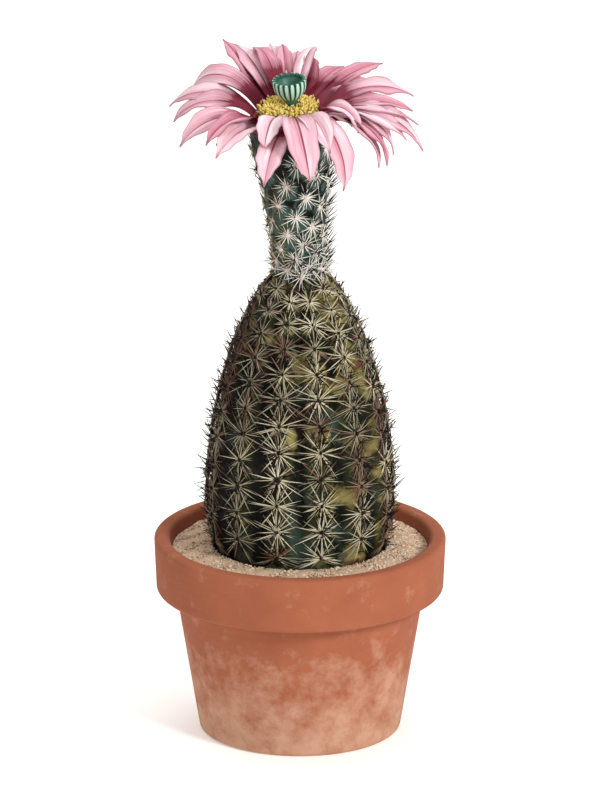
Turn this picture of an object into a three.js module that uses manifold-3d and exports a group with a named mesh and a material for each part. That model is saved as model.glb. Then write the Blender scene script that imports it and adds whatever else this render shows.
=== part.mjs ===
// A cactus in flower in a plain clay pot. One ribbed, spiny, bottle-shaped stem stands in gritty soil
// and carries one pink flower on a spiny green tube at its crown.
// Millimetres, +Z up. The origin is the middle of the pot's foot, on the surface that the pot stands on.
// The side that the photograph shows faces -Y.
import * as THREE from "three";
import { mergeVertices } from "three/addons/utils/BufferGeometryUtils.js";
import Module from "manifold-3d";

const wasm = await Module();
wasm.setup();

// The pot
const POT_HEIGHT = 66;
const FOOT_RADIUS = 33;
const RIM_RADIUS = 48;
const BAND_HEIGHT = 19;
const BAND_STEP = 4;
const WALL = 4.5;
const RIM_WALL = 5;
const FLOOR = 6;
const DRAIN_RADIUS = 6;
const POT_SIDES = 32;

// What fills the pot
const SOIL_TOP = 56;
const GRIT_AT_WALL = 61.5;
const SOIL_LINE = 63.5; // where the grit meets the stem
const CLEARANCE = 0.3; // between pieces that touch

// The stem, in heights above the soil line
const STEM_HEIGHT = 97.5;
const STEM_RADIUS = 30.2;
const WIDEST_AT = 18;
const FOOT_CURVE = 0.0056; // how fast the stem narrows below its widest level
const STEM_ROOT = 20; // depth of the root end
const RIBS = 13;
const RIB_TURN = 13.5; // degrees from the front to the first rib's crest
const FURROW = 3.8;
const TUBERCLE = 0.7; // swell of a rib at each areole
const ROWS = 13; // areoles that would stand on a rib up to its tip
const CROWN_RADIUS = 10.5; // no areole stands nearer to the tip
const SPINE_LENGTH = 8;
const SPINE_RADIUS = 0.36;
const SPINES_PER_AREOLE = 3;

// The flower tube, and the way that it leans from its foot to its throat
const TUBE_FOOT_HEIGHT = 91; // above the soil line
const TUBE_FOOT_X = -0.2;
const TUBE_LENGTH = 54;
const TUBE_NECK_RADIUS = 7.2;
const TUBE_THROAT_RADIUS = 13.8;
const LEAN_X = -3.2;
const LEAN_Y = -3;
const THROAT_ROLL = 5; // degrees to the left
const THROAT_PITCH = 8; // degrees to the front
const TUBE_AREOLES = 37;
const TUBE_SPINE_LENGTH = 5;
const TUBE_SPINE_RADIUS = 0.32;

// The flower, measured from the middle of its throat
// Each petal, the lower ones first: its way out in degrees from the right, its slopes in degrees at its foot and
// at its tip, its length, its width, how far its tip bends aside, its turn about its own line in radians, and the
// height of its foot
const PETALS = [
  [-26, 32, -102, 30.5, 6.6, 0.1, -0.2, 1],
  [-5, 30, -46, 33, 7.7, 0, -0.1, 1],
  [-154, 53, -50, 32.2, 9, -0.2, -0.3, 1.2],
  [-101, 22, -45, 30.6, 9.3, 1.1, 0, 1.2],
  [-15, 38, -94, 32.3, 7.2, 0.1, 0, 1.2],
  [98, 50, -14, 31.2, 6, 0, 0.1, 1.2],
  [158, 48, -47, 34.7, 8.2, 0.3, -0.3, 1.2],
  [-137, 45, -31, 23, 7.2, -0.7, -0.1, 1.4],
  [-9, 29, -73, 38.9, 8.1, 0, 0.2, 1.4],
  [1, 29, -35, 30.2, 7.7, -0.1, 0.1, 1.4],
  [45, 27, -18, 33.4, 8.2, -0.3, 0.1, 1.4],
  [70, 39, 3, 21.8, 8, -2.6, -0.1, 1.4],
  [121, 37, 12, 33, 7.6, 0.9, 0.2, 1.4],
  [-23, 30, -96, 32.1, 6.8, 0, -0.1, 1.6],
  [84, 48, -19, 27.8, 7.2, -0.3, -0.1, 1.6],
  [-29, 53, -55, 14.2, 5, 0.3, -0.2, 1.8],
  [-126, 39, -32, 30.3, 8.6, 0, -0.2, 2],
  [-14, 30, -62, 31.6, 7.7, -0.1, 0.1, 2],
  [17, 36, -44, 33.6, 9.3, -0.1, 0.2, 2],
  [59, 28, -19, 25.5, 8.5, -0.6, 0, 2],
  [91, 53, -15, 28.9, 5.4, -0.9, 0.1, 2],
  [114, 46, -8, 32.4, 8, -0.2, 0.1, 2],
  [141, 61, -60, 36.1, 8.8, 0, -0.4, 2],
  [168, 46, -57, 31.5, 8, 0.2, -0.3, 2],
  [-135, 58, -41, 30.2, 7.4, -0.3, -0.1, 2.2],
  [34, 25, -17, 22.7, 7.4, -0.5, 0, 2.2],
  [77, 48, -23, 30.8, 6.6, 0.3, -0.2, 2.2],
  [103, 64, -34, 32.5, 7.2, -1.9, 0.3, 2.4],
  [-103, 87, -96, 21.3, 8.5, 2, -0.1, 3],
  [-82, 74, -124, 41, 10.7, -1.6, 0, 3],
  [-63, 59, -131, 44.3, 8.2, 0.3, 0.1, 3],
  [-63, 94, -136, 32.7, 9.5, -0.2, 0.1, 3],
  [-20, 99, -132, 25.7, 7.9, -0.5, 0.2, 3],
];
const PETAL_THICKNESS = 0.7;
const PETAL_RING_INNER = 10.6;
const STAMEN_RING_OUTER = 10.2;
const STAMEN_RING_INNER = 3.4;
const STAMEN_HEIGHT = 6;
const ANTHERS = 40;
const ANTHER_LENGTH = 2.6;
const ANTHER_RADIUS = 0.8;
const STIGMA_LOBES = 18;
const STIGMA_X = 1.2; // the style stands a little to the right of the middle
const STIGMA_FOOT = 8.4;
const STIGMA_LENGTH = 6.6;
const STIGMA_RADIUS = 5.6;
const LOBE_THICKNESS = 1.2;
const STYLE_RADIUS = 1.6;

const SLIVER = 0.05; // joining leaves no steps smaller than this

const GOLDEN_ANGLE = Math.PI * (3 - Math.sqrt(5));
const UP = new THREE.Vector3(0, 0, 1);
const DEGREE = Math.PI / 180;

const finish = (color, roughness) => new THREE.MeshStandardMaterial({ color, roughness, metalness: 0 });
const clay = finish("#b4684a", 0.9);
const pottingMix = finish("#3b2c22", 1);
const sand = finish("#c9b297", 0.95);
const stemSkin = finish("#4c5436", 0.6);
const tubeSkin = finish("#4a6356", 0.6);
const petalPink = finish("#dd93a6", 0.55);
const pollenYellow = finish("#d6b04a", 0.8);
const stigmaGreen = finish("#7fae86", 0.5);

// A repeatable draw of numbers from 0 to 1.
function seeded(seed) {
  let state = seed;
  return () => {
    state = (state * 1664525 + 1013904223) >>> 0;
    return state / 4294967296;
  };
}

const between = (low, high, share) => low + (high - low) * share;

// A closed geometry as a solid that can be joined and cut.
function solidOf(geometry) {
  const bare = geometry.clone();
  bare.deleteAttribute("normal");
  bare.deleteAttribute("uv");
  const merged = mergeVertices(bare, 1e-4);
  return new wasm.Manifold(
    new wasm.Mesh({
      numProp: 3,
      vertProperties: new Float32Array(merged.attributes.position.array),
      triVerts: new Uint32Array(merged.index.array),
    }),
  );
}

// The solid without the slivers, scraps and sealed hollows that joining can leave.
function tidied(solid) {
  const shells = solid.simplify(SLIVER).decompose();
  return shells.reduce((largest, shell) => (shell.volume() > largest.volume() ? shell : largest));
}

// A named mesh from a solid.
function meshOf(name, solid, material) {
  const { vertProperties, triVerts } = solid.getMesh();
  const geometry = new THREE.BufferGeometry();
  geometry.setAttribute("position", new THREE.BufferAttribute(vertProperties, 3));
  geometry.setIndex(new THREE.BufferAttribute(triVerts, 1));
  geometry.computeVertexNormals();
  const mesh = new THREE.Mesh(geometry, material);
  mesh.name = name;
  return mesh;
}

// A turned body about Z from [radius, height] pairs.
function turned(outline, sides) {
  const points = outline.map(([radius, height]) => new THREE.Vector2(radius, height));
  return new THREE.LatheGeometry(points, sides).rotateX(Math.PI / 2);
}

// Moves each vertex of a geometry to place(x, y, z).
function reshape(geometry, place) {
  const position = geometry.attributes.position;
  const point = new THREE.Vector3();
  for (let i = 0; i < position.count; i++) {
    point.fromBufferAttribute(position, i);
    const moved = place(point.x, point.y, point.z);
    position.setXYZ(i, moved.x, moved.y, moved.z);
  }
  return geometry;
}

// A three-sided needle from root to tip, with its foot sunk below the root.
function needle(root, direction, length, radius, sunk) {
  const cone = new THREE.ConeGeometry(radius, length + sunk, 3);
  cone.translate(0, (length - sunk) / 2, 0);
  cone.applyQuaternion(new THREE.Quaternion().setFromUnitVectors(new THREE.Vector3(0, 1, 0), direction));
  cone.translate(root.x, root.y, root.z);
  return solidOf(cone);
}

// A thin closed blade over a grid. place(across, along) gives a point and its normal, across from -1 to 1
// and along from 0 to 1, where the normal is across x along. Both faces are split the same way.
function blade(columns, rows, thickness, place) {
  const positions = [];
  const triangles = [];
  const count = (columns + 1) * (rows + 1);
  for (const side of [0.5, -0.5]) {
    for (let j = 0; j <= rows; j++) {
      for (let i = 0; i <= columns; i++) {
        const { point, normal } = place((2 * i) / columns - 1, j / rows);
        positions.push(...point.clone().addScaledVector(normal, side * thickness).toArray());
      }
    }
  }
  const at = (i, j) => j * (columns + 1) + i;
  for (let j = 0; j < rows; j++) {
    for (let i = 0; i < columns; i++) {
      const [a, b, c, d] = [at(i, j), at(i + 1, j), at(i + 1, j + 1), at(i, j + 1)];
      triangles.push(a, b, c, a, c, d);
      triangles.push(count + a, count + c, count + b, count + a, count + d, count + c);
    }
  }
  const edge = [];
  for (let i = 0; i < columns; i++) edge.push(at(i, 0));
  for (let j = 0; j < rows; j++) edge.push(at(columns, j));
  for (let i = columns; i > 0; i--) edge.push(at(i, rows));
  for (let j = rows; j > 0; j--) edge.push(at(0, j));
  edge.forEach((a, n) => {
    const b = edge[(n + 1) % edge.length];
    triangles.push(a, count + a, count + b, a, count + b, b);
  });
  const geometry = new THREE.BufferGeometry();
  geometry.setAttribute("position", new THREE.Float32BufferAttribute(positions, 3));
  geometry.setIndex(triangles);
  return geometry;
}

// The stem's outline along a crest, in radius and height above the soil line.
function stemRadius(height) {
  if (height < WIDEST_AT) return STEM_RADIUS - FOOT_CURVE * (WIDEST_AT - height) ** 2;
  const rise = Math.min(1, (height - WIDEST_AT) / (STEM_HEIGHT - WIDEST_AT));
  return STEM_RADIUS * (1 - rise ** 1.7) ** 0.56;
}

class StemOutline extends THREE.Curve {
  getPoint(share, target = new THREE.Vector2()) {
    const height = STEM_HEIGHT * (1 - (1 - share) ** 2);
    return target.set(stemRadius(height), height);
  }
}

const stemOutline = new StemOutline();

// The areole rows come closer together towards the crown. row 0 is at the soil and ROWS at the tip.
const rowShare = (row) => 1 - (1 - row / ROWS) ** 1.12;
const rowOffset = (rib) => 0.45 + 0.5 * (rib % 2);

// How deep the furrows are at a height: they run out at the soil and narrow towards the crown.
function furrowAt(height) {
  const fromSoil = THREE.MathUtils.smoothstep(height, -6, 14);
  return FURROW * (0.2 + 0.8 * fromSoil) * Math.min(1, stemRadius(height) / 22);
}

const ribAngle = (rib) => (-90 + RIB_TURN) * DEGREE + (rib * 2 * Math.PI) / RIBS;

// The stem's skin at an angle, where the crest has this radius.
function ribbedRadius(angle, crestRadius, height, row) {
  const turns = (((angle - ribAngle(0)) / (2 * Math.PI)) * RIBS + 2 * RIBS) % RIBS;
  const fromCrest = turns - Math.round(turns); // -0.5 to 0.5 across a rib
  const rib = Math.round(turns) % RIBS;
  const furrow = furrowAt(height) * (1 - Math.cos(Math.PI * fromCrest) ** 0.9);
  const swell = TUBERCLE * Math.cos(2 * Math.PI * (row - rowOffset(rib))) * (1 - 2 * Math.abs(fromCrest));
  return crestRadius - furrow + (height > 0 ? swell : 0);
}

// The middle of an areole, with the skin's outward normal, the way up the rib and the way round it.
function areoleFrame(rib, row) {
  const share = rowShare(row);
  const { x: radius, y: height } = stemOutline.getPointAt(share);
  const slope = stemOutline.getTangentAt(share);
  const outward = new THREE.Vector3(Math.cos(ribAngle(rib)), Math.sin(ribAngle(rib)), 0);
  const up = outward.clone().multiplyScalar(slope.x).addScaledVector(UP, slope.y);
  const normal = outward.clone().multiplyScalar(slope.y).addScaledVector(UP, -slope.x);
  const middle = outward.clone().multiplyScalar(radius + TUBERCLE);
  middle.z = SOIL_LINE + height;
  return { middle, normal, up, side: new THREE.Vector3().crossVectors(up, normal), radius };
}

// The stem with its furrows, swellings and spines, and the seat for the flower tube at its crown.
function stem() {
  const rows = [[0, -STEM_ROOT, 0]];
  for (const height of [-STEM_ROOT, -STEM_ROOT / 2, -2]) rows.push([stemRadius(height), height, 0]);
  for (let half = 0; half < 2 * ROWS; half++) {
    const row = half / 2 + rowOffset(0) - 0.5 * Math.floor(2 * rowOffset(0));
    const { x, y } = stemOutline.getPointAt(rowShare(row));
    rows.push([x, y, row]);
  }
  rows.push([0, STEM_HEIGHT, ROWS]);
  const rowAt = new Map(rows.map(([, height, row]) => [Math.fround(height), row]));
  const body = reshape(turned(rows, 4 * RIBS), (x, y, z) => {
    const crestRadius = Math.hypot(x, y);
    if (crestRadius < 0.01) return { x: 0, y: 0, z: z + SOIL_LINE };
    const angle = Math.atan2(y, x) + ribAngle(0);
    const nearest = [...rowAt.keys()].reduce((a, b) => (Math.abs(b - z) < Math.abs(a - z) ? b : a));
    const radius = ribbedRadius(angle, crestRadius, z, rowAt.get(nearest));
    return { x: radius * Math.cos(angle), y: radius * Math.sin(angle), z: z + SOIL_LINE };
  });
  let grown = solidOf(body);
  const draw = seeded(7);
  for (let rib = 0; rib < RIBS; rib++) {
    for (let row = rowOffset(rib); row < ROWS; row++) {
      const frame = areoleFrame(rib, row);
      if (frame.radius > CROWN_RADIUS) grown = grown.add(areoleSpines(frame, Math.floor(row) % 2, draw));
    }
  }
  return tidied(grown.subtract(tubeSeat()));
}

// A direction that rises by at least this share of its length.
function tippedUp(direction, leastRise) {
  if (direction.z >= leastRise) return direction;
  const level = new THREE.Vector3(direction.x, direction.y, 0).setLength(Math.sqrt(1 - leastRise ** 2));
  return level.setZ(leastRise);
}

// One areole's spines: they spread like a Y over the skin, turned over in every other row, and the upper
// ones stand up more.
function areoleSpines({ middle, normal, up, side, radius }, turnedOver, draw) {
  let cluster = null;
  const length = SPINE_LENGTH * THREE.MathUtils.clamp(radius / 24, 0.6, 1);
  for (let n = 0; n < SPINES_PER_AREOLE; n++) {
    const around = ((n + 0.25 + 0.5 * turnedOver) / SPINES_PER_AREOLE) * 2 * Math.PI + 0.4 * (draw() - 0.5);
    const rise = (Math.sin(around) > 0 ? 28 : 15) * DEGREE + 0.1 * (draw() - 0.5);
    const along = side.clone().multiplyScalar(Math.cos(around)).addScaledVector(up, Math.sin(around));
    const direction = along.clone().multiplyScalar(Math.cos(rise)).addScaledVector(normal, Math.sin(rise));
    const root = middle.clone().addScaledVector(along, 0.7).addScaledVector(normal, -0.4);
    const clear = tippedUp(direction, (SOIL_LINE + 1 - root.z) / length); // of the grit
    const spine = needle(root, clear, length * between(0.9, 1, draw()), SPINE_RADIUS, 1.2);
    cluster = cluster ? cluster.add(spine) : spine;
  }
  return cluster;
}

// The round seat at the crown that the flower tube's foot stands in.
function tubeSeat() {
  const radius = tubeRadius(0) + CLEARANCE;
  const seat = new THREE.CylinderGeometry(radius, radius, 20, 24).rotateX(Math.PI / 2);
  return solidOf(seat.translate(TUBE_FOOT_X, 0, SOIL_LINE + TUBE_FOOT_HEIGHT - CLEARANCE + 10));
}

// The tube's radius at a length from its foot.
function tubeRadius(length) {
  const flare = (TUBE_THROAT_RADIUS - TUBE_NECK_RADIUS) * (length / TUBE_LENGTH) ** 1.25;
  return TUBE_NECK_RADIUS + flare + 0.7 * Math.max(0, 1 - length / 8) ** 2;
}

// Carries a point of the straight tube, which stands on its foot, to its place on the leaning tube.
function leaning(x, y, z) {
  const share = Math.max(0, z) / TUBE_LENGTH;
  const turn = new THREE.Euler(THROAT_PITCH * DEGREE * share, -THROAT_ROLL * DEGREE * share, 0);
  const point = new THREE.Vector3(x, y, 0).applyEuler(turn);
  point.x += TUBE_FOOT_X + LEAN_X * share ** 1.3;
  point.y += LEAN_Y * share ** 1.3;
  point.z += SOIL_LINE + TUBE_FOOT_HEIGHT + z;
  return point;
}

// The flower tube with its areoles placed by the golden angle, each with three spines.
function flowerTube() {
  const outline = [[0, 0]];
  const rings = 9;
  for (let n = 0; n <= rings; n++) {
    const height = (n / rings) * TUBE_LENGTH;
    outline.push([tubeRadius(height), height]);
  }
  outline.push([0, TUBE_LENGTH]);
  let grown = solidOf(reshape(turned(outline, 20), leaning));
  const draw = seeded(19);
  for (let n = 0; n < TUBE_AREOLES; n++) {
    const height = between(6, TUBE_LENGTH - 9, n / (TUBE_AREOLES - 1));
    const angle = n * GOLDEN_ANGLE;
    const radius = tubeRadius(height);
    const outward = new THREE.Vector3(Math.cos(angle), Math.sin(angle), 0);
    const side = new THREE.Vector3().crossVectors(UP, outward);
    const root = leaning(outward.x * (radius - 0.4), outward.y * (radius - 0.4), height);
    for (const around of [25, 90, 155]) {
      const turn = (around + 20 * (draw() - 0.5)) * DEGREE;
      const along = side.clone().multiplyScalar(Math.cos(turn)).addScaledVector(UP, Math.sin(turn));
      const direction = along.multiplyScalar(0.75).addScaledVector(outward, 0.66).normalize();
      grown = grown.add(needle(root, direction, TUBE_SPINE_LENGTH, TUBE_SPINE_RADIUS, 1));
    }
  }
  return grown;
}

// The middle of the throat, with the flower's lean.
function placeFlower(group) {
  const middle = leaning(0, 0, TUBE_LENGTH);
  group.position.copy(middle);
  group.rotation.set(THROAT_PITCH * DEGREE, -THROAT_ROLL * DEGREE, 0);
  return group;
}

function petal([way, startSlope, endSlope, length, width, aside, twist, foot]) {
  const angle = way * DEGREE;
  const [start, end] = [startSlope * DEGREE, endSlope * DEGREE];
  const outward = new THREE.Vector3(Math.cos(angle), Math.sin(angle), 0);
  const side = new THREE.Vector3(Math.sin(angle), -Math.cos(angle), 0);
  const steps = 25;
  return solidOf(
    blade(2, 5, PETAL_THICKNESS, (across, along) => {
      const spine = outward.clone().multiplyScalar(PETAL_RING_INNER + 1);
      spine.z = foot;
      const reach = Math.round(along * steps);
      for (let k = 0; k < reach; k++) {
        const bend = between(start, end, (k + 0.5) / steps);
        spine.addScaledVector(outward, (Math.cos(bend) * length) / steps);
        spine.z += (Math.sin(bend) * length) / steps;
      }
      spine.addScaledVector(side, aside * along ** 2);
      const bend = between(start, end, along);
      const forward = outward.clone().multiplyScalar(Math.cos(bend)).addScaledVector(UP, Math.sin(bend));
      const sideways = side.clone().applyAxisAngle(forward, twist * Math.min(1, 2 * along));
      const normal = new THREE.Vector3().crossVectors(sideways, forward);
      const half = 0.5 * width * petalShape(along);
      const trough = 0.22 * half * Math.abs(across) * (1 - 0.5 * along);
      const point = spine.addScaledVector(sideways, across * half).addScaledVector(normal, trough);
      return { point, normal };
    }),
  );
}

// A petal's share of its full width: a narrow claw, widest at its middle, then a pointed tip.
function petalShape(along) {
  const claw = between(0.4, 1, THREE.MathUtils.smoothstep(along, 0, 0.48));
  const tip = Math.max(0, 1 - Math.max(0, (along - 0.5) / 0.5) ** 2.1);
  return Math.max(0.04, claw * tip);
}

// The petals on one throat ring.
function petals() {
  const [inner, outer] = [PETAL_RING_INNER, TUBE_THROAT_RADIUS];
  const ring = [[inner, CLEARANCE], [outer - 0.2, CLEARANCE], [outer - 0.2, 1.8], [inner, 3.2]];
  let grown = solidOf(turned([...ring, ring[0]], 24));
  for (const shape of PETALS) grown = grown.add(petal(shape));
  return tidied(grown);
}

// The stamens: a low ring-shaped cushion of filaments that the anthers stand out of.
function stamens() {
  const [inner, outer, top] = [STAMEN_RING_INNER, STAMEN_RING_OUTER, STAMEN_HEIGHT];
  const cushion = [
    [inner, CLEARANCE],
    [outer, CLEARANCE],
    [outer, top - 1.5],
    [outer - 1.2, top],
    [inner + 1.8, top - 0.6],
    [inner, top - 2.4],
  ];
  let grown = solidOf(turned([...cushion, cushion[0]], 24));
  for (let n = 0; n < ANTHERS; n++) {
    const radius = Math.sqrt(between((inner + 1.6) ** 2, (outer - 0.7) ** 2, (n + 0.5) / ANTHERS));
    const angle = n * GOLDEN_ANGLE;
    const outward = new THREE.Vector3(Math.cos(angle), Math.sin(angle), 0);
    const root = outward.clone().multiplyScalar(radius).addScaledVector(UP, top - 0.9);
    const direction = UP.clone().addScaledVector(outward, 0.5 * (radius / outer) ** 3).normalize();
    grown = grown.add(needle(root, direction, ANTHER_LENGTH, ANTHER_RADIUS, 0.6));
  }
  return grown;
}

// The style, and the goblet of stigma lobes on it.
function stigma() {
  const column = [
    [0, CLEARANCE],
    [STYLE_RADIUS, CLEARANCE],
    [STYLE_RADIUS, STIGMA_FOOT - 2],
    [STYLE_RADIUS + 1.8, STIGMA_FOOT + 1.2],
    [0, STIGMA_FOOT + 2.6],
  ];
  let grown = solidOf(turned(column, 12));
  for (let n = 0; n < STIGMA_LOBES; n++) {
    const angle = (n / STIGMA_LOBES) * 2 * Math.PI;
    const outward = new THREE.Vector3(Math.cos(angle), Math.sin(angle), 0);
    const side = new THREE.Vector3().crossVectors(UP, outward);
    const lobe = blade(1, 3, LOBE_THICKNESS, (across, along) => {
      const bend = 1 - (1 - along) ** 3;
      const radius = between(STYLE_RADIUS + 0.5, STIGMA_RADIUS - 0.6, bend);
      const half = between(0.4, 0.68, bend) * (along === 1 ? 0.6 : 1);
      const point = outward.clone().multiplyScalar(radius).addScaledVector(side, across * half);
      point.z = STIGMA_FOOT + STIGMA_LENGTH * along;
      const normal = outward.clone().addScaledVector(UP, -0.5 * (1 - along)).normalize();
      return { point, normal };
    });
    grown = grown.add(solidOf(lobe));
  }
  return grown.translate([STIGMA_X, 0, 0]);
}

const wallSlope = (RIM_RADIUS - BAND_STEP - FOOT_RADIUS) / POT_HEIGHT;
const wallRadius = (height) => FOOT_RADIUS + wallSlope * height;
const bandFoot = POT_HEIGHT - BAND_HEIGHT;
const innerStep = bandFoot + 2;
const innerLow = (height) => wallRadius(height) - WALL;
const innerHigh = (height) => RIM_RADIUS - RIM_WALL - wallSlope * (POT_HEIGHT - height);

// The pot, turned about Z: a tapered wall, a band below the rim and a drainage hole in the floor.
function pot() {
  const outline = [
    [DRAIN_RADIUS, 0],
    [FOOT_RADIUS - 1, 0],
    [FOOT_RADIUS, 1.2],
    [wallRadius(bandFoot), bandFoot],
    [RIM_RADIUS - 1.6, bandFoot + 0.8],
    [RIM_RADIUS - 0.8, bandFoot + 2.2],
    [RIM_RADIUS, POT_HEIGHT - 1.8],
    [RIM_RADIUS - 1, POT_HEIGHT - 0.4],
    [RIM_RADIUS - 2.4, POT_HEIGHT],
    [RIM_RADIUS - RIM_WALL + 1, POT_HEIGHT - 0.4],
    [innerHigh(POT_HEIGHT - 1.6), POT_HEIGHT - 1.6],
    [innerHigh(innerStep + 2), innerStep + 2],
    [innerLow(innerStep - 3), innerStep - 3],
    [innerLow(FLOOR + 3), FLOOR + 3],
    [innerLow(FLOOR) - 3, FLOOR],
    [DRAIN_RADIUS, FLOOR],
  ];
  return solidOf(turned([...outline, outline[0]], POT_SIDES));
}

// The plain hole for the stem, in the shape of its root end and foot.
function stemHole() {
  const outline = [[0, -STEM_ROOT]];
  for (let height = -STEM_ROOT; height <= 10; height += 10) outline.push([stemRadius(height) + 1, height]);
  outline.push([0, 10]);
  return solidOf(turned(outline, POT_SIDES).translate(0, 0, SOIL_LINE));
}

// The dark mix, from the pot's floor up to the grit.
function soil() {
  const inset = CLEARANCE;
  const outline = [
    [0, FLOOR],
    [innerLow(FLOOR) - 3 - inset, FLOOR],
    [innerLow(FLOOR + 3) - inset, FLOOR + 3],
    [innerLow(innerStep - 3) - inset, innerStep - 3],
    [innerHigh(innerStep + 2) - 1.5 * inset, innerStep + 2],
    [innerHigh(SOIL_TOP) - inset, SOIL_TOP],
    [0, SOIL_TOP],
  ];
  return solidOf(turned(outline, POT_SIDES)).subtract(stemHole());
}

// The pale grit on the soil, a little higher at the stem than at the pot's wall.
function grit() {
  const outline = [
    [0, SOIL_TOP],
    [innerHigh(SOIL_TOP) - CLEARANCE, SOIL_TOP],
    [innerHigh(GRIT_AT_WALL) - CLEARANCE, GRIT_AT_WALL],
    [between(STEM_RADIUS, RIM_RADIUS, 0.35), between(GRIT_AT_WALL, SOIL_LINE, 0.8)],
    [STEM_RADIUS - 1, SOIL_LINE],
    [0, SOIL_LINE],
  ];
  return solidOf(turned(outline, POT_SIDES)).subtract(stemHole());
}

const cactus = new THREE.Group();
cactus.add(meshOf("pot", pot(), clay));
cactus.add(meshOf("soil", soil(), pottingMix));
cactus.add(meshOf("grit", grit(), sand));
cactus.add(meshOf("stem", stem(), stemSkin));
cactus.add(meshOf("flower_tube", flowerTube(), tubeSkin));
const flower = placeFlower(new THREE.Group());
flower.add(meshOf("petals", petals(), petalPink));
flower.add(meshOf("stamens", stamens(), pollenYellow));
flower.add(meshOf("stigma", stigma(), stigmaGreen));
cactus.add(flower);

export default cactus;
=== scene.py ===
# A cactus in flower in a plain clay pot: a ribbed, spiny, bottle-shaped stem in gritty soil, with one pink
# flower on a spiny tube at its crown. Metres, +Z up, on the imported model's frame. The front faces -Y.
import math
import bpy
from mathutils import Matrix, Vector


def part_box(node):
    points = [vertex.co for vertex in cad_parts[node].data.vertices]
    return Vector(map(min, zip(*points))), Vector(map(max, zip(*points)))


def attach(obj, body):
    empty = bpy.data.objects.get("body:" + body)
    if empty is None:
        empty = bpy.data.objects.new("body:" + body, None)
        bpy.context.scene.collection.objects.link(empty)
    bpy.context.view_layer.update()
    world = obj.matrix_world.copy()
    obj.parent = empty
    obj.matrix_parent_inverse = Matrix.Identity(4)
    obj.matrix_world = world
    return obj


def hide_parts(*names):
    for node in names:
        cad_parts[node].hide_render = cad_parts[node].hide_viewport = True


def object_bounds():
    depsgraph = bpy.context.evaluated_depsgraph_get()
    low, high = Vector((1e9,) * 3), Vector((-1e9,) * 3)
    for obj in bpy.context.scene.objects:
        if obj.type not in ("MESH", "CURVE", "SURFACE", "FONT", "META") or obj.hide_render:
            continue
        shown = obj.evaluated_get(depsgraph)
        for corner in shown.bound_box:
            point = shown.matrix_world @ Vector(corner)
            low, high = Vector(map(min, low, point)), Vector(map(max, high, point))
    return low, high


bl_info = {
    "name": "Potted cactus in flower",
    "version": (1, 0, 0),
    "blender": (4, 5, 0),
    "location": "View3D > Sidebar > Cactus",
    "description": "Models a potted cactus in flower, from its pot to its stigma, with a small studio",
    "category": "Add Mesh",
}

import bpy
import numpy as np
from bpy.props import FloatProperty, FloatVectorProperty, IntProperty, PointerProperty
from mathutils import Matrix, Vector

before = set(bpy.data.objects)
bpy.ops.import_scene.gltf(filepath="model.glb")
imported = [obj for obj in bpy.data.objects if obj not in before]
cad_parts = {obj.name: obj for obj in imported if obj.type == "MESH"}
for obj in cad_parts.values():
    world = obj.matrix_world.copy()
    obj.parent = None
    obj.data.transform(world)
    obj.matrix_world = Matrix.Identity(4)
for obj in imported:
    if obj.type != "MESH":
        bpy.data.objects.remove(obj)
CAD_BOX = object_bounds()

MM = 0.001
TURN = 2 * math.pi
GOLDEN_ANGLE = math.pi * (3 - math.sqrt(5))
UP = Vector((0, 0, 1))


def cad_radius(node):
    """Half of a CAD node's width."""
    low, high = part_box(node)
    return (high.x - low.x) / 2


def linear(text):
    """An sRGB hex colour as a linear one with alpha."""
    parts = [int(text[i : i + 2], 16) / 255 for i in (1, 3, 5)]
    return (*[p / 12.92 if p <= 0.04045 else ((p + 0.055) / 1.055) ** 2.4 for p in parts], 1.0)


def size(name, description, millimetres):
    """A length that a user may change."""
    return FloatProperty(name=name, description=description, default=millimetres * MM, min=0, unit="LENGTH")


def colour(name, description, text):
    """A colour that a user may change."""
    return FloatVectorProperty(
        name=name, description=description, default=linear(text), size=4, min=0, max=1, subtype="COLOR"
    )


def count(name, description, default):
    """A number of like pieces that a user may change."""
    return IntProperty(name=name, description=description, default=default, min=1)


class PotSizes(bpy.types.PropertyGroup):
    rim_radius: size("Rim radius", "Half the pot's width at its rim", cad_radius("pot") / MM)
    height: size("Height", "From the surface that the pot stands on to its rim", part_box("pot")[1].z / MM)
    foot_radius: size("Foot radius", "Half the pot's width at its foot", 33)
    band_height: size("Band height", "Height of the band below the rim", 19)
    band_step: size("Band step", "How far the band stands out of the wall", 4)
    wall: size("Wall", "Thickness of the tapered wall", 4.5)
    rim_wall: size("Rim wall", "Thickness of the wall at the rim", 5)
    floor: size("Floor", "Thickness of the floor", 6)
    drain_radius: size("Drainage hole", "Radius of the hole in the floor", 6)
    soil_top: size("Soil top", "Where the dark mix ends and the grit begins", 56)
    grit_at_wall: size("Grit at the wall", "Height of the grit where it meets the pot", 61.5)
    soil_line: size("Soil line", "Height of the grit where it meets the stem", 63.5)
    grains: count("Grains", "Loose grains on the grit", 5200)


class StemSizes(bpy.types.PropertyGroup):
    height: size("Height", "Stem above the soil line", 97.5)
    radius: size("Radius", "Over the ribs at the widest level", 30.2)
    widest_at: size("Widest at", "Height of the widest level above the soil line", 18)
    root: size("Root end", "Depth of the root end below the soil line", 20)
    furrow: size("Furrow", "Depth of the furrows between the ribs", 3.8)
    tubercle: size("Tubercle", "Swell of a rib at each areole", 0.7)
    crown_radius: size("Crown", "No areole stands nearer to the tip", 8.6)
    spine: size("Spine length", "Length of the longest spines", 9.4)
    spine_radius: size("Spine radius", "Radius of a spine at its foot", 0.19)
    ribs: count("Ribs", "Ribs round the stem", 13)
    rows: count("Areole rows", "Areoles that would stand on a rib up to its tip", 13)
    radials: count("Radial spines", "Pale spines that spread from each areole", 23)
    # Partly painted shadow: the dark radials also stand for the dark strokes beside the pale spines
    darks: count("Dark radial spines", "Dark spines among the pale ones", 12)
    old: count("Old spines", "Browned and grey spines among the pale ones", 8)
    centrals: count("Central spines", "Dark spines that stand out of each areole", 12)


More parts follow.
